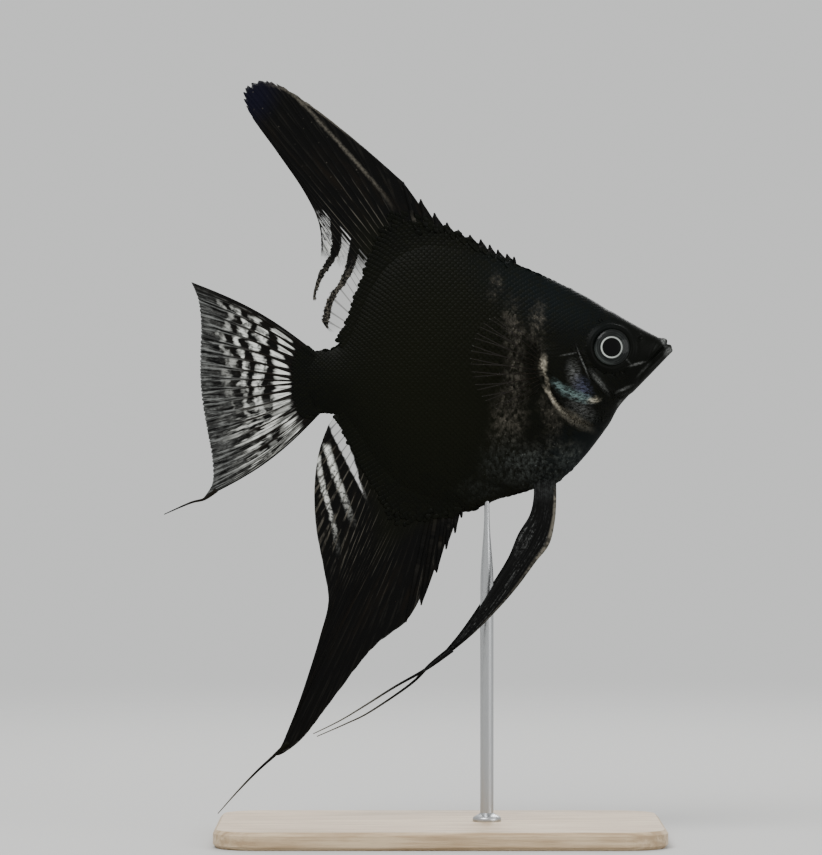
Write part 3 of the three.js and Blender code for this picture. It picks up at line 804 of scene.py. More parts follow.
# Lines over the anal fin, as points (z, x). Each streak also has a width and a strength.
ANAL_STREAKS = (
    ([(-42, 11.4), (-38, 10), (-30, 7.2), (-24, 5), (-18, 3.2)], 1.2, 1.0),
    ([(-50, 7), (-46, 6.2), (-40, 5.2), (-33, 3.2), (-26, 1.5), (-21, 0.8)], 0.85, 0.85),
    ([(-36, 15.4), (-31, 13.6), (-26, 11.4), (-22, 9.6)], 0.6, 0.45),
)
STRIP_REAR = [(-34, 15), (-32.5, 13.6), (-27.5, 10.9), (-20, 7.1), (-15.7, 4.9), (-12, 3.4)]
STRIP_FRONT = [(-34, 14), (-32.5, 13.9), (-27.5, 12.8), (-20, 10.7), (-14, 8), (-9, 5.8)]


def anal_pattern(p, look):
    """Black, with white streaks and fine pale rays in its rear lobe, and a clear strip by the body."""
    x, z = p.uneven(1.2, (0.5, 4, 0.7), (0.6, 3, 0.6))
    # painted highlights along the front spines, which brighten their rays
    spine_highlights = p.ease(p.t, 0.27, 0.24) * p.ease(p.v, 0.4, 0.9)
    bright = p.most(p.patch((9, -38), (19, 9), 112, soft=0.5),
                    p.patch((13.4, -25), (12, 2.2), -60, soft=0.6), spine_highlights * 0.3)
    skin = dark_ground(p, look, bright)
    white = 0.0
    for line, width, much in ANAL_STREAKS:
        low, high = line[0][0], line[-1][0]
        fade = p.ease(z, low, low + 20) * p.ease(z, high + 1, high - 1)
        streak = p.ease(abs(x - p.curve(z, line)), width * 1.2, width * 0.25)
        white = p.most(white, streak * fade * much)
    white = white * (0.3 + 0.7 * p.ease(p.grain(76, 9), 0.3, 0.5)) * (1 - p.rays * 0.6)
    whole = p.ease(z, -46, -24) * 0.09
    white = white * (0.2 + 0.8 * p.ease(p.noise(1.1, 3, 0.6) + whole, 0.45, 0.58))
    skin = p.blend(white, skin, look.white_colour)
    strip = p.ease(x - p.curve(z, STRIP_REAR), 0, 0.7) * p.ease(p.curve(z, STRIP_FRONT) - x, 0, 0.6)
    skin = p.blend(p.ease(p.z, -108, -119) * 0.45, skin, look.ray_colour)
    return skin, 1 - strip * (0.9 - p.rays * 0.35)


# The tail fin's white bands: from and to which share of the rays, how strong, and how much wider they are in
# the upper half.
CAUDAL_BANDS = (
    (0.21, 0.345, 1.0, 0), (0.45, 0.52, 0.95, 0.008), (0.612, 0.642, 0.75, 0.024), (0.757, 0.78, 0.25, 0.022),
)


def caudal_pattern(p, look):
    """Wavy white bands over black, broken by the rays, with a streaky grey margin."""
    fine = p.grain(80, 5)
    step = (p.each(p.t * CAUDAL["ray_count"]) - 0.5) * 0.07
    u = p.v + p.wobble(0.16, 0.12, 2) + (p.grain(16, 2, 2) - 0.5) * 0.16 + step
    u = u + p.wobble(0.12, 0.4, 2, 0.6) * p.ease(p.v, 0.2, 0.45)
    white = 0.0
    upper = p.ease(p.t, 0.55, 0.3)
    for low, high, much, wider in CAUDAL_BANDS:
        band = p.ease(u, low - 0.02, low + 0.02) * p.ease(u - upper * wider, high + 0.025, high - 0.02)
        white = p.most(white, band * (much + upper * (wider * 9)))
    by_stalk = p.ease(p.v, 0.38, 0.32) * (0.55 + 0.45 * p.ease(p.t, 0.1, 0.36))
    mottle = p.mottle(0.3, 0.57, 0.55, 2.5, 0.5) + upper * 0.2 + by_stalk
    white = white * p.math("MINIMUM", mottle, 1.0)
    ray_half = p.curve(p.v, [(0.14, 0.46), (0.24, 0.27), (0.36, 0.15), (0.7, 0.08)])
    white = white * p.ease(p.across - ray_half, -0.05, 0.07)
    lower = p.ease(p.t + p.v * 0.12, 0.62, 0.78)
    streaks = p.ease(p.grain(40, 3), 0.48, 0.6) * p.ease(p.v, 0.16, 0.24) * p.ease(p.v, 0.95, 0.55)
    white = p.node("Mix", inputs={0: lower * 0.8, 2: white, 3: streaks})
    inside = p.ease(p.t, 0.03, 0.11) * p.ease(p.t, 0.98, 0.95)
    white = white * inside * (0.35 + 0.65 * p.ease(fine, 0.36, 0.54))
    skin = p.blend(p.ease(fine, 0.4, 0.7) * 0.6, look.fin_colour, look.fin_brown)
    margin = p.ease(u - upper * 0.1, 0.6, 0.9) * (0.2 + 0.8 * inside) * p.ease(fine, 0.38, 0.66)
    margin = margin * (0.35 + 0.65 * p.mottle(0.4, 0.58, 0.45, 4, 0.65))
    skin = p.blend(margin * 0.6, skin, look.grey_and_glint_colour)
    skin = p.blend(white, skin, look.white_colour)
    skin = p.blend(p.rays * p.ease(p.v, 0.8, 0.6) * 0.85, skin, look.fin_brown)
    pale = p.ease(p.rays, 0.55, 1) * p.ease(p.v, 0.5, 0.8) * inside * (0.15 + 0.6 * p.ease(fine, 0.44, 0.6))
    skin = p.blend(pale, skin, look.grey_and_glint_colour)
    return skin, 1.0


def pelvic_pattern(p, look):
    """Black blades with a pale front spine and a few dull streaks, flecked like the belly at their roots."""
    streaks = p.ease(p.grain(14, 4, 4), 0.5, 0.7)
    dust = p.mottle(0.42, 0.66, 1.2, 4, 0.7)
    skin = p.blend(streaks * dust * 0.5 * p.ease(p.v, 0.12, 0.3), look.fin_colour, look.grey_and_glint_colour)
    skin = p.blend(p.ease(p.x, 27, 6) * 0.4, skin, look.ray_colour)
    by_belly = p.ease(p.z, -36, -29.5) * p.mottle(0.4, 0.7, 1.0, 5, 0.7)
    skin = p.blend(by_belly * 0.26, skin, look.belly_colour)
    edge = p.ease(p.t, 0.17, 0.09) * p.ease(p.v, 0.05, 0.14) * (0.3 + 0.7 * p.ease(p.v, 0.62, 0.46))
    edge = edge * (0.3 + 0.7 * p.mottle(0.4, 0.55, 0.8, 3))
    return p.blend(edge * 0.6, skin, look.ray_colour), 1.0


def pectoral_pattern(p, look):
    """Clear membrane with fine smoky rays, whose thickness hardly grows towards the margin."""
    across = abs(p.across - p.ease(p.v, 0.45, 1.1) * 0.22)
    half = 0.034 / (p.v + 0.2)
    skin = p.blend(p.ease(p.v, 0.2, 0.8) * 0.05, look.fin_brown, look.grey_and_glint_colour)
    return skin, p.ease(across, half * 1.25, half * 0.8)


def eye_paint():
    """A black pupil in a bright ring, on a dark grey iris with faint rings, under a wet clear coat, with
    light painted on the lower rear side of the ring and the iris.
    """
    look = settings()
    p = Paint("eye_finish", Coat_Weight=0.12, Coat_Roughness=0.05, Specular_IOR_Level=0.06)
    centre = EYE["centre"]
    dx, dz = p.x - centre[0], p.z - centre[1]
    r = (dx * dx + dz * dz) ** 0.5 / EYE["radius"]
    rings = p.ease(abs(p.fraction(r * 9 + p.noise(0.5, 2) * 1.2) - 0.5), 0.1, 0.42)
    # painted light: a lighter crescent on the lower rear of the iris
    lit_crescent = p.patch((-2.6, -2.8), (3.4, 1.5), -46, soft=0.8, xz=(dx, dz)) * p.ease(r, 0.7, 0.86)
    cloudy = p.mottle(0.38, 0.62, 0.35, 3, 0.6)
    iris = p.blend(rings * (0.1 + cloudy * 0.3) + lit_crescent * 0.85, look.iris_colour, look.iris_light)
    iris = p.blend(p.ease(r, 0.9, 0.97), iris, look.body_colour)
    # painted light: the ring is brighter on its lower rear side
    lit = 0.62 + 0.38 * p.ease(dx * 0.8 + dz * 0.25, 1.6, -1.8)
    ring = p.ease(abs(r - 0.538), 0.05, 0.02) * lit * (0.7 + p.noise(0.7, 3, 0.6) * 0.5)
    iris = p.blend(ring, iris, look.ring_colour)
    pupil = p.ease(r, 0.492, 0.47)
    p.feed(Base_Color=p.blend(pupil, iris, (0.0005, 0.0005, 0.0006)), Roughness=0.45 - pupil * 0.2)
    return p.material


def wood_paint():
    look = settings()
    p = Paint("pale_wood", Specular_IOR_Level=0.4, Coat_Weight=0.25, Coat_Roughness=0.3)
    stretched = p.vector("MULTIPLY", p.place, (0.03, 0.5, 0.5))
    rings = p.noise(1.2, 6, 0.6, where=stretched)
    pores = p.ease(p.noise(3.5, 2, where=p.vector("MULTIPLY", p.place, (0.08, 1.6, 1.6))), 0.55, 0.72)
    wood = p.blend(p.ease(rings, 0.35, 0.65), look.wood_colour, look.wood_dark)
    p.feed(Base_Color=p.blend(pores * 0.35, wood, look.wood_dark), Roughness=0.45 + rings * 0.2,
           Normal=p.bump(1 - pores, 0.00008, 0.5))
    return p.material


def steel_paint():
    p = Paint("brushed_steel", Metallic=1.0, Base_Color=(0.44, 0.45, 0.46))
    lines = p.noise(6, 3, where=p.vector("MULTIPLY", p.place, (1, 1, 0.06)))
    p.feed(Roughness=0.26 + lines * 0.18, Normal=p.bump(lines, 0.00002, 0.4))
    return p.material


# ---------------------------------------------------------------- settings

def tint(name, description, default):
    return FloatVectorProperty(name=name, description=description, default=default, subtype="COLOR",
                               size=3, min=0, max=1)


def tally(name, description, default):
    return IntProperty(name=name, description=description, default=default, min=8)


def extent(name, description, default):
    return FloatProperty(name=name, description=description, default=default, unit="LENGTH", precision=5)


def amount(name, description, default):
    return FloatProperty(name=name, description=description, default=default, min=0, max=1)


class AngelfishSettings(bpy.types.PropertyGroup):
    skin_rings: tally("Skin rings", "Rings of the skin from the tail to the snout", 230)
    skin_around: tally("Skin around", "Points of the skin round a section", 400)
    scale_spacing: extent("Scale spacing", "From one scale to the next along the flank", 0.00128)
    fin_thickness: extent("Fin thickness", "Thickness of a fin's membrane at its margin", 0.00016)
    rod_radius: extent("Rod radius", "Half the thickness of the stand's rod", 0.0015)
    air_strength: amount("Air strength", "How bright the light all round the studio is", 0.82)
    skin_gloss: amount("Skin gloss", "How much the skin shines", 0.075)
    fin_gloss: amount("Fin gloss", "How much the fins shine", 0.06)
    body_colour: tint("Body", "The ground colour of the skin", (0.0016, 0.0019, 0.0012))
    flank_colour: tint("Flank", "The browner tone of the flank", (0.0034, 0.0038, 0.0014))
    nape_colour: tint("Nape", "The bluer tone of the nape and the throat", (0.0021, 0.004, 0.0046))
    fleck_colour: tint("Flecks", "The dull silver flecks", (0.082, 0.074, 0.06))
    belly_colour: tint("Belly flecks", "The bluer flecks of the belly", (0.062, 0.07, 0.066))
    # painted glints of the gill cover, in teal and in violet
    glint_colour: tint("Cheek glints", "The glints of the gill cover", (0.11, 0.16, 0.155))
    glint_colour_2: tint("Cheek glints, deep", "The deeper glints of the gill cover", (0.05, 0.055, 0.09))
    # the pale edge of the gill opening, and also the colour of a painted silver glint on the gill cover
    cream_and_glint_colour: tint("Gill edge", "The pale edge of the gill opening", (0.36, 0.33, 0.26))
    # the grey of the fins' worn edges, the tail's margin and the pelvic streaks, and the colour of painted
    # glints on the face and the gill cover
    grey_and_glint_colour: tint("Grey marks", "The grey marks of the face and the tail's margin", (0.15, 0.155, 0.15))
    fin_colour: tint("Fins", "The ground colour of the fins", (0.0016, 0.0016, 0.0015))
    fin_brown: tint("Fins, brown", "The browner tone of the fins", (0.006, 0.0042, 0.0025))
    indigo_colour: tint("Fin tip", "The indigo tip of the dorsal fin", (0.0022, 0.0022, 0.0075))
    ray_colour: tint("Rays", "The fins' pale rays", (0.17, 0.155, 0.125))
    white_colour: tint("Bands", "The white bands of the fins", (0.66, 0.67, 0.63))
    iris_colour: tint("Iris", "The dark ground of the iris", (0.0035, 0.0043, 0.0042))
    iris_light: tint("Iris rings", "The lighter rings of the iris", (0.04, 0.046, 0.043))
    ring_colour: tint("Pupil ring", "The bright ring round the pupil", (0.42, 0.45, 0.42))
    wood_colour: tint("Wood", "The stand's base", (0.56, 0.43, 0.28))
    wood_dark: tint("Wood grain", "The grain of the stand's base", (0.36, 0.25, 0.14))
    floor_colour: tint("Floor", "The studio's floor", (0.49, 0.49, 0.482))
    air_colour: tint("Air", "The light all round the studio", (0.95, 0.96, 0.95))


# ---------------------------------------------------------------- operators

class AngelfishOperator:
    bl_options = {"REGISTER", "UNDO"}

    def execute(self, context):
        self.make(settings())
        return {"FINISHED"}


class ANGELFISH_OT_skin(AngelfishOperator, bpy.types.Operator):
    """Makes one closed skin over the head, the trunk, the tail stalk, the jaws and the gill covers"""
    bl_idname = "angelfish.skin"
    bl_label = "Skin"

    def make(self, look):
        bm = bmesh.new()
        bmesh.ops.create_grid(bm, x_segments=look.skin_rings, y_segments=look.skin_around, size=0.5)
        for vert in bm.verts:
            share = round(vert.co.x + 0.5, 6)
            u = share * (1 + 0.45 * (1 - share))  # rings draw together towards the snout
            vert.co = body_point(u, math.tau * round(vert.co.y, 6))
        close_up(bm)
        bm.normal_update()
        place = np.array([v.co for v in bm.verts])
        x, z = place[:, 0], place[:, 2]
        out = -SCALE_DEPTH * scaliness(x, z)
        head = x > HEAD_FROM
        out[head] += head_relief(x[head], z[head])
        for vert, height in zip(bm.verts, out):
            vert.co += vert.normal * float(height)
        new_piece("skin", bm, skin_paint("skin_finish", on_scales=False), FLESH)


# Two fields of scales: their relative sizes by x, their first and last x, and if they are the cheek's.
SCALE_FIELDS = (
    (Profile([(-4, 0.66), (8, 0.78), (22, 0.97), (40, 1), (58, 0.96), (70, 0.8), (82, 0.58), (92, 0.5)]),
     -6.3, 92, False),
    (Profile([(60, 0.6), (92, 0.48)]), 60, 92, True),
)
SCALE_SHAPE = (1.75, 1.25, 1.3)  # a scale's length, width and thickness, times the spacing
COLUMN_HEIGHTS = np.arange(-54, 58, 0.4)  # where a column of scales is measured, from the lowest
WELL_INSIDE = -6  # how far inside the body's outline nothing but the skin is met
LEAST_FACING = 0.12  # how much a surface has to face sideways to carry a scale
PATCH = 0.003  # the size of a scale in the map of the coat


def scale_form():
    """One scale: a thin shield a unit long and wide, its root at -X and its rounded free edge at +X."""
    bm = bmesh.new()
    bmesh.ops.create_cone(bm, cap_ends=True, segments=9, radius1=0.5, radius2=0.4, depth=0.05)
    top = [f for f in bm.faces if f.normal.z > 0.9]
    bmesh.ops.inset_region(bm, faces=top, thickness=0.16, depth=0.03)
    for vert in bm.verts:
        if vert.co.x < 0:
            vert.co.y *= 1 - 0.5 * abs(vert.co.x)
        # raised towards the free edge, arched across, and sunk a little at the root
        vert.co.z += 0.10 * (vert.co.x + 0.5) - 0.12 * vert.co.y ** 2 - 0.02
    bmesh.ops.recalc_face_normals(bm, faces=bm.faces)
    return bm


def stamp(name, form, places, material):
    """Joins a copy of form for each place, (matrix, (u, v) of its root, tone), into one piece."""
    form.verts.ensure_lookup_table()
    shape = np.array([(*v.co, 1) for v in form.verts])
    faces = [[v.index for v in f.verts] for f in form.faces]
    form.free()
    sheets = np.stack([np.array(matrix) for matrix, _, _ in places])
    points = np.einsum("nij,vj->nvi", sheets, shape)[:, :, :3].reshape(-1, 3)
    count = len(shape)
    mesh = bpy.data.meshes.new(name)
    copies = [[i + k * count for i in face] for k in range(len(places)) for face in faces]
    mesh.from_pydata(points.tolist(), [], copies)
    corner = np.array([i for face in faces for i in face])
    roots = np.array([root for _, root, _ in places])
    patches = (roots[:, None, :] + PATCH * shape[None, corner, :2]).reshape(-1)
    mesh.uv_layers.new(name="OFBake").data.foreach_set("uv", patches)
    tones = np.repeat([tone for _, _, tone in places], count)
    mesh.attributes.new("tone", "FLOAT", "POINT").data.foreach_set("value", tones)
    return finish_piece(name, mesh, material)


class ANGELFISH_OT_scales(AngelfishOperator, bpy.types.Operator):
    """Lays overlapping scales in staggered rows over the skin and the bases of the midline fins"""
    bl_idname = "angelfish.scales"
    bl_label = "Scales"

    def make(self, look):
        skin, *fins = map(surface_of, ("skin", "dorsal_membrane", "anal_membrane", "caudal_membrane"))
        finish = skin_paint("scale_finish", on_scales=True)
        spacing = look.scale_spacing / UNIT
        for side, name in ((1, "left"), (-1, "right")):
            places = {"scales": [], "head_scales": [], "fin_scales": []}
            for shrink, start, end, on_cheek in SCALE_FIELDS:
                chance = random.Random(7)
                for at, normal, size, beyond in scale_roots(skin, fins, side, spacing, shrink, start, end):
                    x, z = (at.x - TAIL.x) / UNIT, (at.z - TAIL.z) / UNIT
                    if cheek(x, z) != on_cheek:
                        continue
                    outwards = Vector((x - 30, 0, z)).normalized() * (0.9 * float(smooth(0, 9, beyond)))
                    back = Vector((-1, 0, chance.uniform(-0.06, 0.06))) + outwards
                    flatness = mix(1, 0.6, float(smooth(60, 72, x)))
                    matrix = scale_place(at, normal, back, size * chance.uniform(0.95, 1.06), flatness)
                    kind = "fin_scales" if beyond > 0.4 else "scales"
                    if on_cheek or x > HEAD_SCALES_FROM:
                        kind = "head_scales"
                    places[kind].append((matrix, coat_root(at, max(beyond, 0)), chance.random()))
            for kind, laid in places.items():
                stamp(f"{kind}_{name}", scale_form(), laid, finish)


def surface_of(name):
    return BVHTree.FromObject(bpy.data.objects[name], bpy.context.evaluated_depsgraph_get())


def touch(surfaces, side, x, z):
    """Where a line from one side first meets the surfaces, and their normal there."""
    hits = [surface.ray_cast(world(x, 60 * side, z), Vector((0, -side, 0))) for surface in surfaces]
    hits = [hit for hit in hits if hit[0] is not None]
    return min(hits, key=lambda hit: hit[3])[:2] if hits else None


def cheek(x, z):
    """True on the cheek and the gill cover, where the scales are small."""
    if x < 62.5 or z > 12.5 + 0.15 * (x - 62.4):
        return False
    return bool(GILL_EDGE_LINE.measure(np.array([x]), np.array([z]))[0][0] > 0)


def coat_root(at, beyond):
    """The place of a scale's root on the unwrapped skin, a left and a right half side by side: its share of
    the length, and its angle round the body from the back, with the fins' bases folded out beyond."""
    length = (at.x - TAIL.x) / UNIT
    turn = math.atan2(abs(at.y) + 3 * UNIT, at.z - TAIL.z) / math.pi
    around = 0.09 + 0.32 * turn + math.copysign(0.005, TAIL.z - at.z) * beyond
    return 0.4 + length / 260, 0.5 + math.copysign(around, at.y)


def scale_roots(skin, fins, side, spacing, shrink, start, end):
    """Places, normals and sizes of one side's scales, and how far they lie beyond the body's outline:
    staggered rows that follow the girth, draw together towards the snout and the tail, and run out over the
    bases of the fins."""
    reach_up, reach_down = Profile(DORSAL["scaled"]), Profile(ANAL["scaled"])
    chance = random.Random(3)
    x, k = start, 0
    while x < end:
        size = spacing * shrink(x)
        zs = COLUMN_HEIGHTS
        beyond = outside(np.full(len(zs), x), zs)
        reach = np.where(zs > 0, reach_up(x), reach_down(x))
        heights, found, steps = [], [], []
        for z, out in zip(zs[beyond < reach], beyond[beyond < reach]):
            hit = touch([skin] if out < WELL_INSIDE else [skin, *fins], side, x, z)
            if hit:
                heights.append(z)
                found.append(hit[0])
                steps.append(size * (1 - 0.45 * float(smooth(0, 12, out))))
        if len(found) > 2:
            lengths = [(b - a).length / UNIT / step for a, b, step in zip(found, found[1:], steps)]
            girth = np.concatenate(([0], np.cumsum(lengths)))
            girth = girth - np.interp(2, heights, girth)
            rows = np.arange(math.ceil(girth[0]), girth[-1]) + 0.5 * (k % 2)
            zs = np.interp(rows, girth, heights)
            sizes = np.interp(zs, heights, steps)
            beyond = outside(np.full(len(zs), x), zs)
            scaled = scaliness(np.full(len(zs), x), zs) > 0.5
            for z, size_here, out in zip(zs[scaled], sizes[scaled], beyond[scaled]):
                hit = touch([skin] if out < WELL_INSIDE else [skin, *fins], side, x, z)
                fading = smooth(0.3, 1, out / (reach_up(x) if z > 0 else reach_down(x))) if out > 3 else 0
                if hit and abs(hit[1].y) > LEAST_FACING and chance.random() > 0.8 * fading:
                    yield *hit, size_here, float(out)
        x += size / 2
        k += 1


def scale_place(at, normal, back, size, flatness):
    """Where a scale lies: its face along the skin and its free edge towards back."""
    back = (back - normal * back.dot(normal)).normalized()
    across = normal.cross(back)
    basis = Matrix((back, across, normal)).transposed().to_4x4()
    length, width, lift = (size * UNIT * share for share in SCALE_SHAPE)
    lift *= flatness * (0.45 + 0.55 * abs(normal.y))
    return Matrix.Translation(at) @ basis @ Matrix.Diagonal((length, width, lift, 1))


class ANGELFISH_OT_eyes(AngelfishOperator, bpy.types.Operator):
    """Makes the two eyes"""
    bl_idname = "angelfish.eyes"
    bl_label = "Eyes"

    def make(self, look):
        finish = eye_paint()
        radius, bulge = EYE["radius"], EYE["bulge"]
        for side, name in ((1, "left"), (-1, "right")):
            bm = bmesh.new()
            bmesh.ops.create_uvsphere(bm, u_segments=64, v_segments=48, radius=1)
            for vert in bm.verts:
                flat = math.hypot(vert.co.x, vert.co.y)
                ring = 0.05 * bell(flat - 0.545, 0.05) + 0.04 * (1 - smooth(0.3, 0.5, flat))
                depth = vert.co.z * bulge + ring if vert.co.z > 0 else vert.co.z * 2
                vert.co = Vector((vert.co.x * radius, vert.co.y * radius, depth))
            turn = Matrix.Rotation(side * math.radians(EYE["up"] - 90), 4, "X")
            turn = Matrix.Rotation(-side * math.radians(EYE["forward"]), 4, "Z") @ turn
            move = Matrix.Translation((EYE["centre"][0], side * EYE["plane"], EYE["centre"][1]))
            bmesh.ops.transform(bm, matrix=move @ turn, verts=bm.verts)
            close_up(bm)
            new_piece(f"eyeball_{name}", bm, finish, [f"eye_{name}"])


def notch(fin, s):
    """How far the margin is cut back at s steps along the fin: most just behind each spine."""
    if s >= fin["spine_steps"]:
        return 0
    phase = s * fin["spines_per_step"] % 1
    depth = min(phase / NOTCH_AT, (1 - phase) / (1 - NOTCH_AT))
    return mix(*fin["tooth"], s / fin["spine_steps"]) * depth


def fray(fin, t):
    """How far the worn margin is cut back at t across the rays, between their ends."""
    first, last, deep = fin["fray"]
    teeth, uneven, broken = FRAY_WAVES
    worn = float(smooth(first - 0.03, first + 0.02, t) * smooth(last + 0.03, last - 0.02, t))
    ends = 0.5 - 0.5 * math.cos(math.tau * teeth * t + 1.5 * math.sin(uneven * t))
    return (LEAST_FRAY + deep * worn) * ends * (0.25 + 0.75 * math.sin(broken * t) ** 2)


def fan_place(fin):
    """A function of t across the rays and v along them that gives where a fan fin lies."""
    rays = fin["rays"]
    steps = len(rays) - 1
    tips = Line([tip for _, tip in rays])
    if isinstance(rays[0][0], tuple):
        roots = Line([root for root, _ in rays])
        root_at = roots.at
    else:
        shares = Line([(w, i) for i, (w, _) in enumerate(rays)])

        def root_at(t):
            w = shares.at(t).x
            at = body_point(abs(w), math.pi if w < 0 else 0, -fin["depth"])
            return Vector((at.x + fin["sink"], at.z))

    @functools.lru_cache(maxsize=None)
    def ray_at(t):
        root = root_at(t)
        ray = tips.at(t) - root
        short = 1 - min((notch(fin, t * steps) + fray(fin, t)) / ray.length, MOST_NOTCH)
        return root, ray, short

    def place(t, v):
        root, ray, short = ray_at(t)
        bend = math.sin(math.pi * v) * mix(fin["bow"][0], -fin["bow"][1], t) / ray.length
        return root + ray * (v * short) + Vector((ray.y, -ray.x)) * bend

    return place


def blade_place(blade):
    front, rear = Line(blade["front"]), Line(blade["rear"])
    return lambda t, v: front.at(v).lerp(rear.at(v), t)


def root_swell(fin, place):
    """A function of t and the distance from a midline fin's root: how much its flesh thickens it, so that it
    leaves the body's sides smoothly."""
    skin = surface_of("skin")
    reach, power = fin["swell"]

    @functools.lru_cache(maxsize=None)
    def half_at(t):
        root = place(t, 0)
        hit = touch([skin], 1, root.x, root.y)
        return max(0, 0.94 * hit[0].y / UNIT - fin["root_half"]) if hit else 0

    return lambda t, distance: half_at(t) * math.exp(-(distance / reach) ** power)


def fin_sheet(fin, place, look, aside=None, swell=None):
    """A fin as a closed thin sheet, thicker at its root and along each ray, with t and v in its UV map. aside
    gives how far it lies from the midline. A midline fin has a swell, and its rays show only outside the
    body."""
    bm = bmesh.new()
    ray_count = fin["ray_count"]
    columns, rows = fin["mesh"]
    margin_half = look.fin_thickness / UNIT / 2
    bmesh.ops.create_grid(bm, x_segments=ray_count * columns, y_segments=rows, size=0.5)
    share_t = bm.verts.layers.float.new("t")
    share_v = bm.verts.layers.float.new("v")
    for vert in bm.verts:
        vert[share_t] = vert.co.x + 0.5
        vert[share_v] = vert.co.y + 0.5
    bmesh.ops.solidify(bm, geom=bm.faces, thickness=SIDE_GAP)
    uv = bm.loops.layers.uv.new("fin")
    for face in bm.faces:
        for loop in face.loops:
            loop[uv].uv = (loop.vert[share_t], loop.vert[share_v])
    for vert in bm.verts:
        t, v = vert[share_t], vert[share_v]
        across = abs((t * ray_count + 0.5) % 1 - 0.5)
        branch = abs(across - FORK_SPREAD * float(smooth(fin["fork"], FORK_END, v)))
        edge = min(1, min(t, 1 - t) * ray_count, 40 * (1 - v) + 0.15)
        ridge = RIDGE_HEIGHT * float(bell(branch, RIDGE_WIDTH)) * (1 - 0.55 * v)
        half = mix(fin["root_half"], margin_half, math.sqrt(v))
        t = round(t, 7)
        at = place(t, v)
        if swell:
            distance = (at - place(t, 0)).length
            covered = fin["depth"] + fin["sink"] + 1
            ridge *= float(smooth(covered, covered + 8, distance))
            half += swell(t, distance) * float(smooth(1, 0.6, v))
        half += ridge
        side = 1 if vert.co.z > -SIDE_GAP / 2 else -1
        y = (aside(at) if aside else 0) + side * half * max(edge, 0.2)
        vert.co = Vector((at.x, y, at.y))
    return bm


def spines(bm, fin, place):
    """Adds the stiff spines of a fin's first steps, whose tips stand clear of its membrane."""
    steps = len(fin["rays"]) - 1
    last = fin["spine_steps"] * fin["spines_per_step"]
    for k in range(last + 1):
        t = k / fin["spines_per_step"] / steps

        def path(share, t=t):
            at = place(t, share)
            return Vector((at.x, 0, at.y))

        thick = mix(0.6, 0.85, k / last)
        tube(bm, path, lambda share: thick * (1 - 0.3 * share) * (1 - 0.6 * share ** 12), t, steps=14)


def thread(bm, name, aside=None):
    """Adds the trailing thread of a fin."""
    line = Line(STREAMERS[name])
    half = Profile(STREAMER_HALF)

    def path(share):
        at = line.along(share)
        return Vector((at.x, aside(at) if aside else 0, at.y))

    tube(bm, path, half, t=0.5, sides=10, steps=24, flat=0.6)


class ANGELFISH_OT_midline_fins(AngelfishOperator, bpy.types.Operator):
    """Makes the dorsal, anal and caudal fins"""
    bl_idname = "angelfish.midline_fins"
    bl_label = "Dorsal, anal and tail fins"

    def make(self, look):
        for name, fin, pattern in (
                ("dorsal", DORSAL, dorsal_pattern), ("anal", ANAL, anal_pattern),
                ("caudal", CAUDAL, caudal_pattern)):
            place = fan_place(fin)
            bm = fin_sheet(fin, place, look, swell=root_swell(fin, place))
            if fin["spine_steps"]:
                spines(bm, fin, place)
            if name in STREAMERS:
                thread(bm, name)
            close_up(bm)
            new_piece(f"{name}_membrane", bm, fin_paint(name, fin, pattern), [f"{name}_fin"])


class ANGELFISH_OT_paired_fins(AngelfishOperator, bpy.types.Operator):
    """Makes the clear pectoral fins and the long pelvic fins"""
    bl_idname = "angelfish.paired_fins"
    bl_label = "Pectoral and pelvic fins"

    def make(self, look):
        clear = fin_paint("pectoral", PECTORAL, pectoral_pattern)
        dark = fin_paint("pelvic", PELVIC, pelvic_pattern)
        for side, name in ((1, "left"), (-1, "right")):
            def flare(at, side=side):
                return side * (PECTORAL["root_y"] + (PECTORAL["root_x"] - at.x) * PECTORAL["spread"])

            def splay(at, side=side):
                out = mix(0.9, PELVIC["root_y"], float(smooth(-28, -34, at.y)))
                return side * (out + max(0, PELVIC["root_z"] - at.y) * PELVIC["splay"])

            bm = fin_sheet(PECTORAL, fan_place(PECTORAL), look, aside=flare)
            close_up(bm)
            new_piece(f"pectoral_membrane_{name}", bm, clear, [f"pectoral_fin_{name}"])

            bm = fin_sheet(PELVIC, blade_place(PELVIC), look, aside=splay)
            thread(bm, f"pelvic_{name}", splay)
            close_up(bm)
            new_piece(f"pelvic_membrane_{name}", bm, dark, [f"pelvic_fin_{name}"])


class ANGELFISH_OT_stand(AngelfishOperator, bpy.types.Operator):
    """Finishes the display stand's base and rod"""
    bl_idname = "angelfish.stand"
    bl_label = "Stand"

    def make(self, look):
        slots = frame["nodes"]["stand_base"].data.materials
        slots.clear()
        slots.append(wood_paint())

        low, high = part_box("stand_rod")
        foot, top = ((Vector(((low.x + high.x) / 2, 0, end.z)) - TAIL) / UNIT for end in (low, high))

        def radius(share):
            return look.rod_radius / UNIT * (1 - 0.6 * float(smooth(0.7, 0.92, share)))

        bm = bmesh.new()
        tube(bm, lambda share: foot.lerp(top, share), radius, sides=32, steps=40)
        seat = (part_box("stand_base")[1].z - TAIL.z) / UNIT
        collar = Profile([(0, 3.9), (0.35, 4), (0.55, 3.8), (0.75, 3), (0.88, 2.3), (1, 2)])
        tube(bm, lambda share: Vector((foot.x, 0, seat - 0.3 + 2.6 * share)), collar, sides=40, steps=20)
        new_piece("rod", bm, steel_paint(), ["stand_rod"])


# The studio's lights, each with its place and its size in metres and its power in watts.
LIGHTS = (
    ("key_light", (-0.3, -0.45, 0.85), 0.45, 9),
    ("fill_light", (0.75, -0.5, 0.35), 0.5, 3.5),
    ("back_light", (0.1, 0.7, 0.6), 0.5, 6),
)
LIT_POINT = Vector((0, 0, 0.1))
CAMERA_PLACE = (-0.0065, -1.1, 0.0922)
SEEN_HEIGHT = 0.1916  # how much the camera sees from top to bottom, in metres


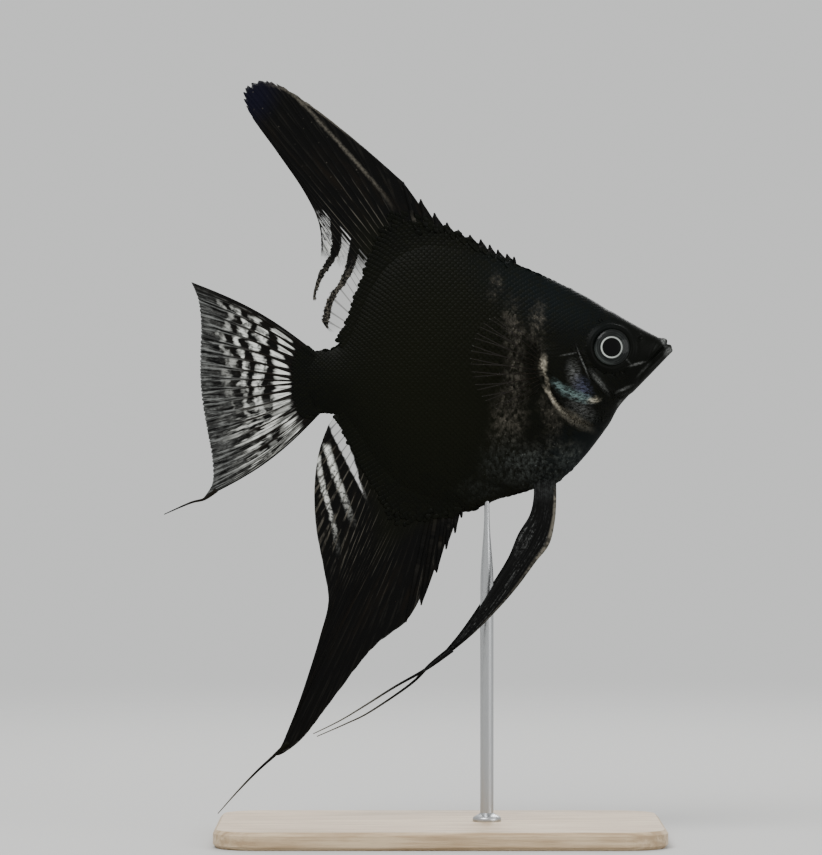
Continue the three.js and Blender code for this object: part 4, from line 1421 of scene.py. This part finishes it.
class ANGELFISH_OT_stage(AngelfishOperator, bpy.types.Operator):
    """Sets up the pale floor, the soft lights and the camera"""
    bl_idname = "angelfish.stage"
    bl_label = "Studio"

    def make(self, look):
        bm = bmesh.new()
        bmesh.ops.create_circle(bm, cap_ends=True, segments=96, radius=3)
        mesh = bpy.data.meshes.new("studio_floor")
        bm.to_mesh(mesh)
        bm.free()
        paint = Paint("floor_finish", Roughness=0.9, Specular_IOR_Level=0.1, Base_Color=look.floor_colour)
        out = paint.vector("LENGTH", paint.node("TexCoord", output="Object"), (0, 0, 0))
        paint.feed(Alpha=paint.ease(out, 0.75, 0.22))
        mesh.materials.append(paint.material)
        add_object("studio_floor", mesh)

        air = bpy.data.worlds.new("studio_air")
        air.use_nodes = True
        light_all_round = air.node_tree.nodes["Background"].inputs
        light_all_round["Color"].default_value = (*look.air_colour, 1.0)
        light_all_round["Strength"].default_value = look.air_strength
        bpy.context.scene.world = air

        for name, place, size, power in LIGHTS:
            light = bpy.data.lights.new(name, "AREA")
            light.size = size
            light.energy = power
            lamp = add_object(name, light)
            lamp.location = place
            lamp.rotation_euler = (LIT_POINT - Vector(place)).to_track_quat("-Z", "Y").to_euler()

        lens = bpy.data.cameras.new("camera")
        lens.sensor_width = 36
        lens.lens = lens.sensor_width * -CAMERA_PLACE[1] / SEEN_HEIGHT
        lens.clip_start = 0.05
        lens.clip_end = 20
        camera = add_object("camera", lens)
        camera.location = CAMERA_PLACE
        camera.rotation_euler = (math.radians(90), 0, 0)
        bpy.context.scene.camera = camera


class ANGELFISH_PT_panel(bpy.types.Panel):
    """Lists the model's steps and its sizes and colours"""
    bl_idname = "ANGELFISH_PT_panel"
    bl_label = "Angelfish Display Model"
    bl_space_type = "VIEW_3D"
    bl_region_type = "UI"
    bl_category = "Angelfish"

    def draw(self, context):
        for step in STEPS:
            self.layout.operator(step.bl_idname)
        for name in AngelfishSettings.__annotations__:
            self.layout.prop(settings(), name)


STEPS = (
    ANGELFISH_OT_stage, ANGELFISH_OT_skin, ANGELFISH_OT_midline_fins, ANGELFISH_OT_scales,
    ANGELFISH_OT_eyes, ANGELFISH_OT_paired_fins, ANGELFISH_OT_stand,
)


def register():
    for kind in (AngelfishSettings, *STEPS, ANGELFISH_PT_panel):
        bpy.utils.register_class(kind)
    bpy.types.Scene.angelfish = PointerProperty(type=AngelfishSettings)


def unregister():
    del bpy.types.Scene.angelfish
    for kind in (ANGELFISH_PT_panel, *reversed(STEPS), AngelfishSettings):
        bpy.utils.unregister_class(kind)


def main():
    register()
    bpy.ops.angelfish.stage()
    bpy.ops.angelfish.skin()
    bpy.ops.angelfish.midline_fins()
    bpy.ops.angelfish.scales()
    bpy.ops.angelfish.eyes()
    bpy.ops.angelfish.paired_fins()
    bpy.ops.angelfish.stand()


if __name__ == "__main__":
    main()
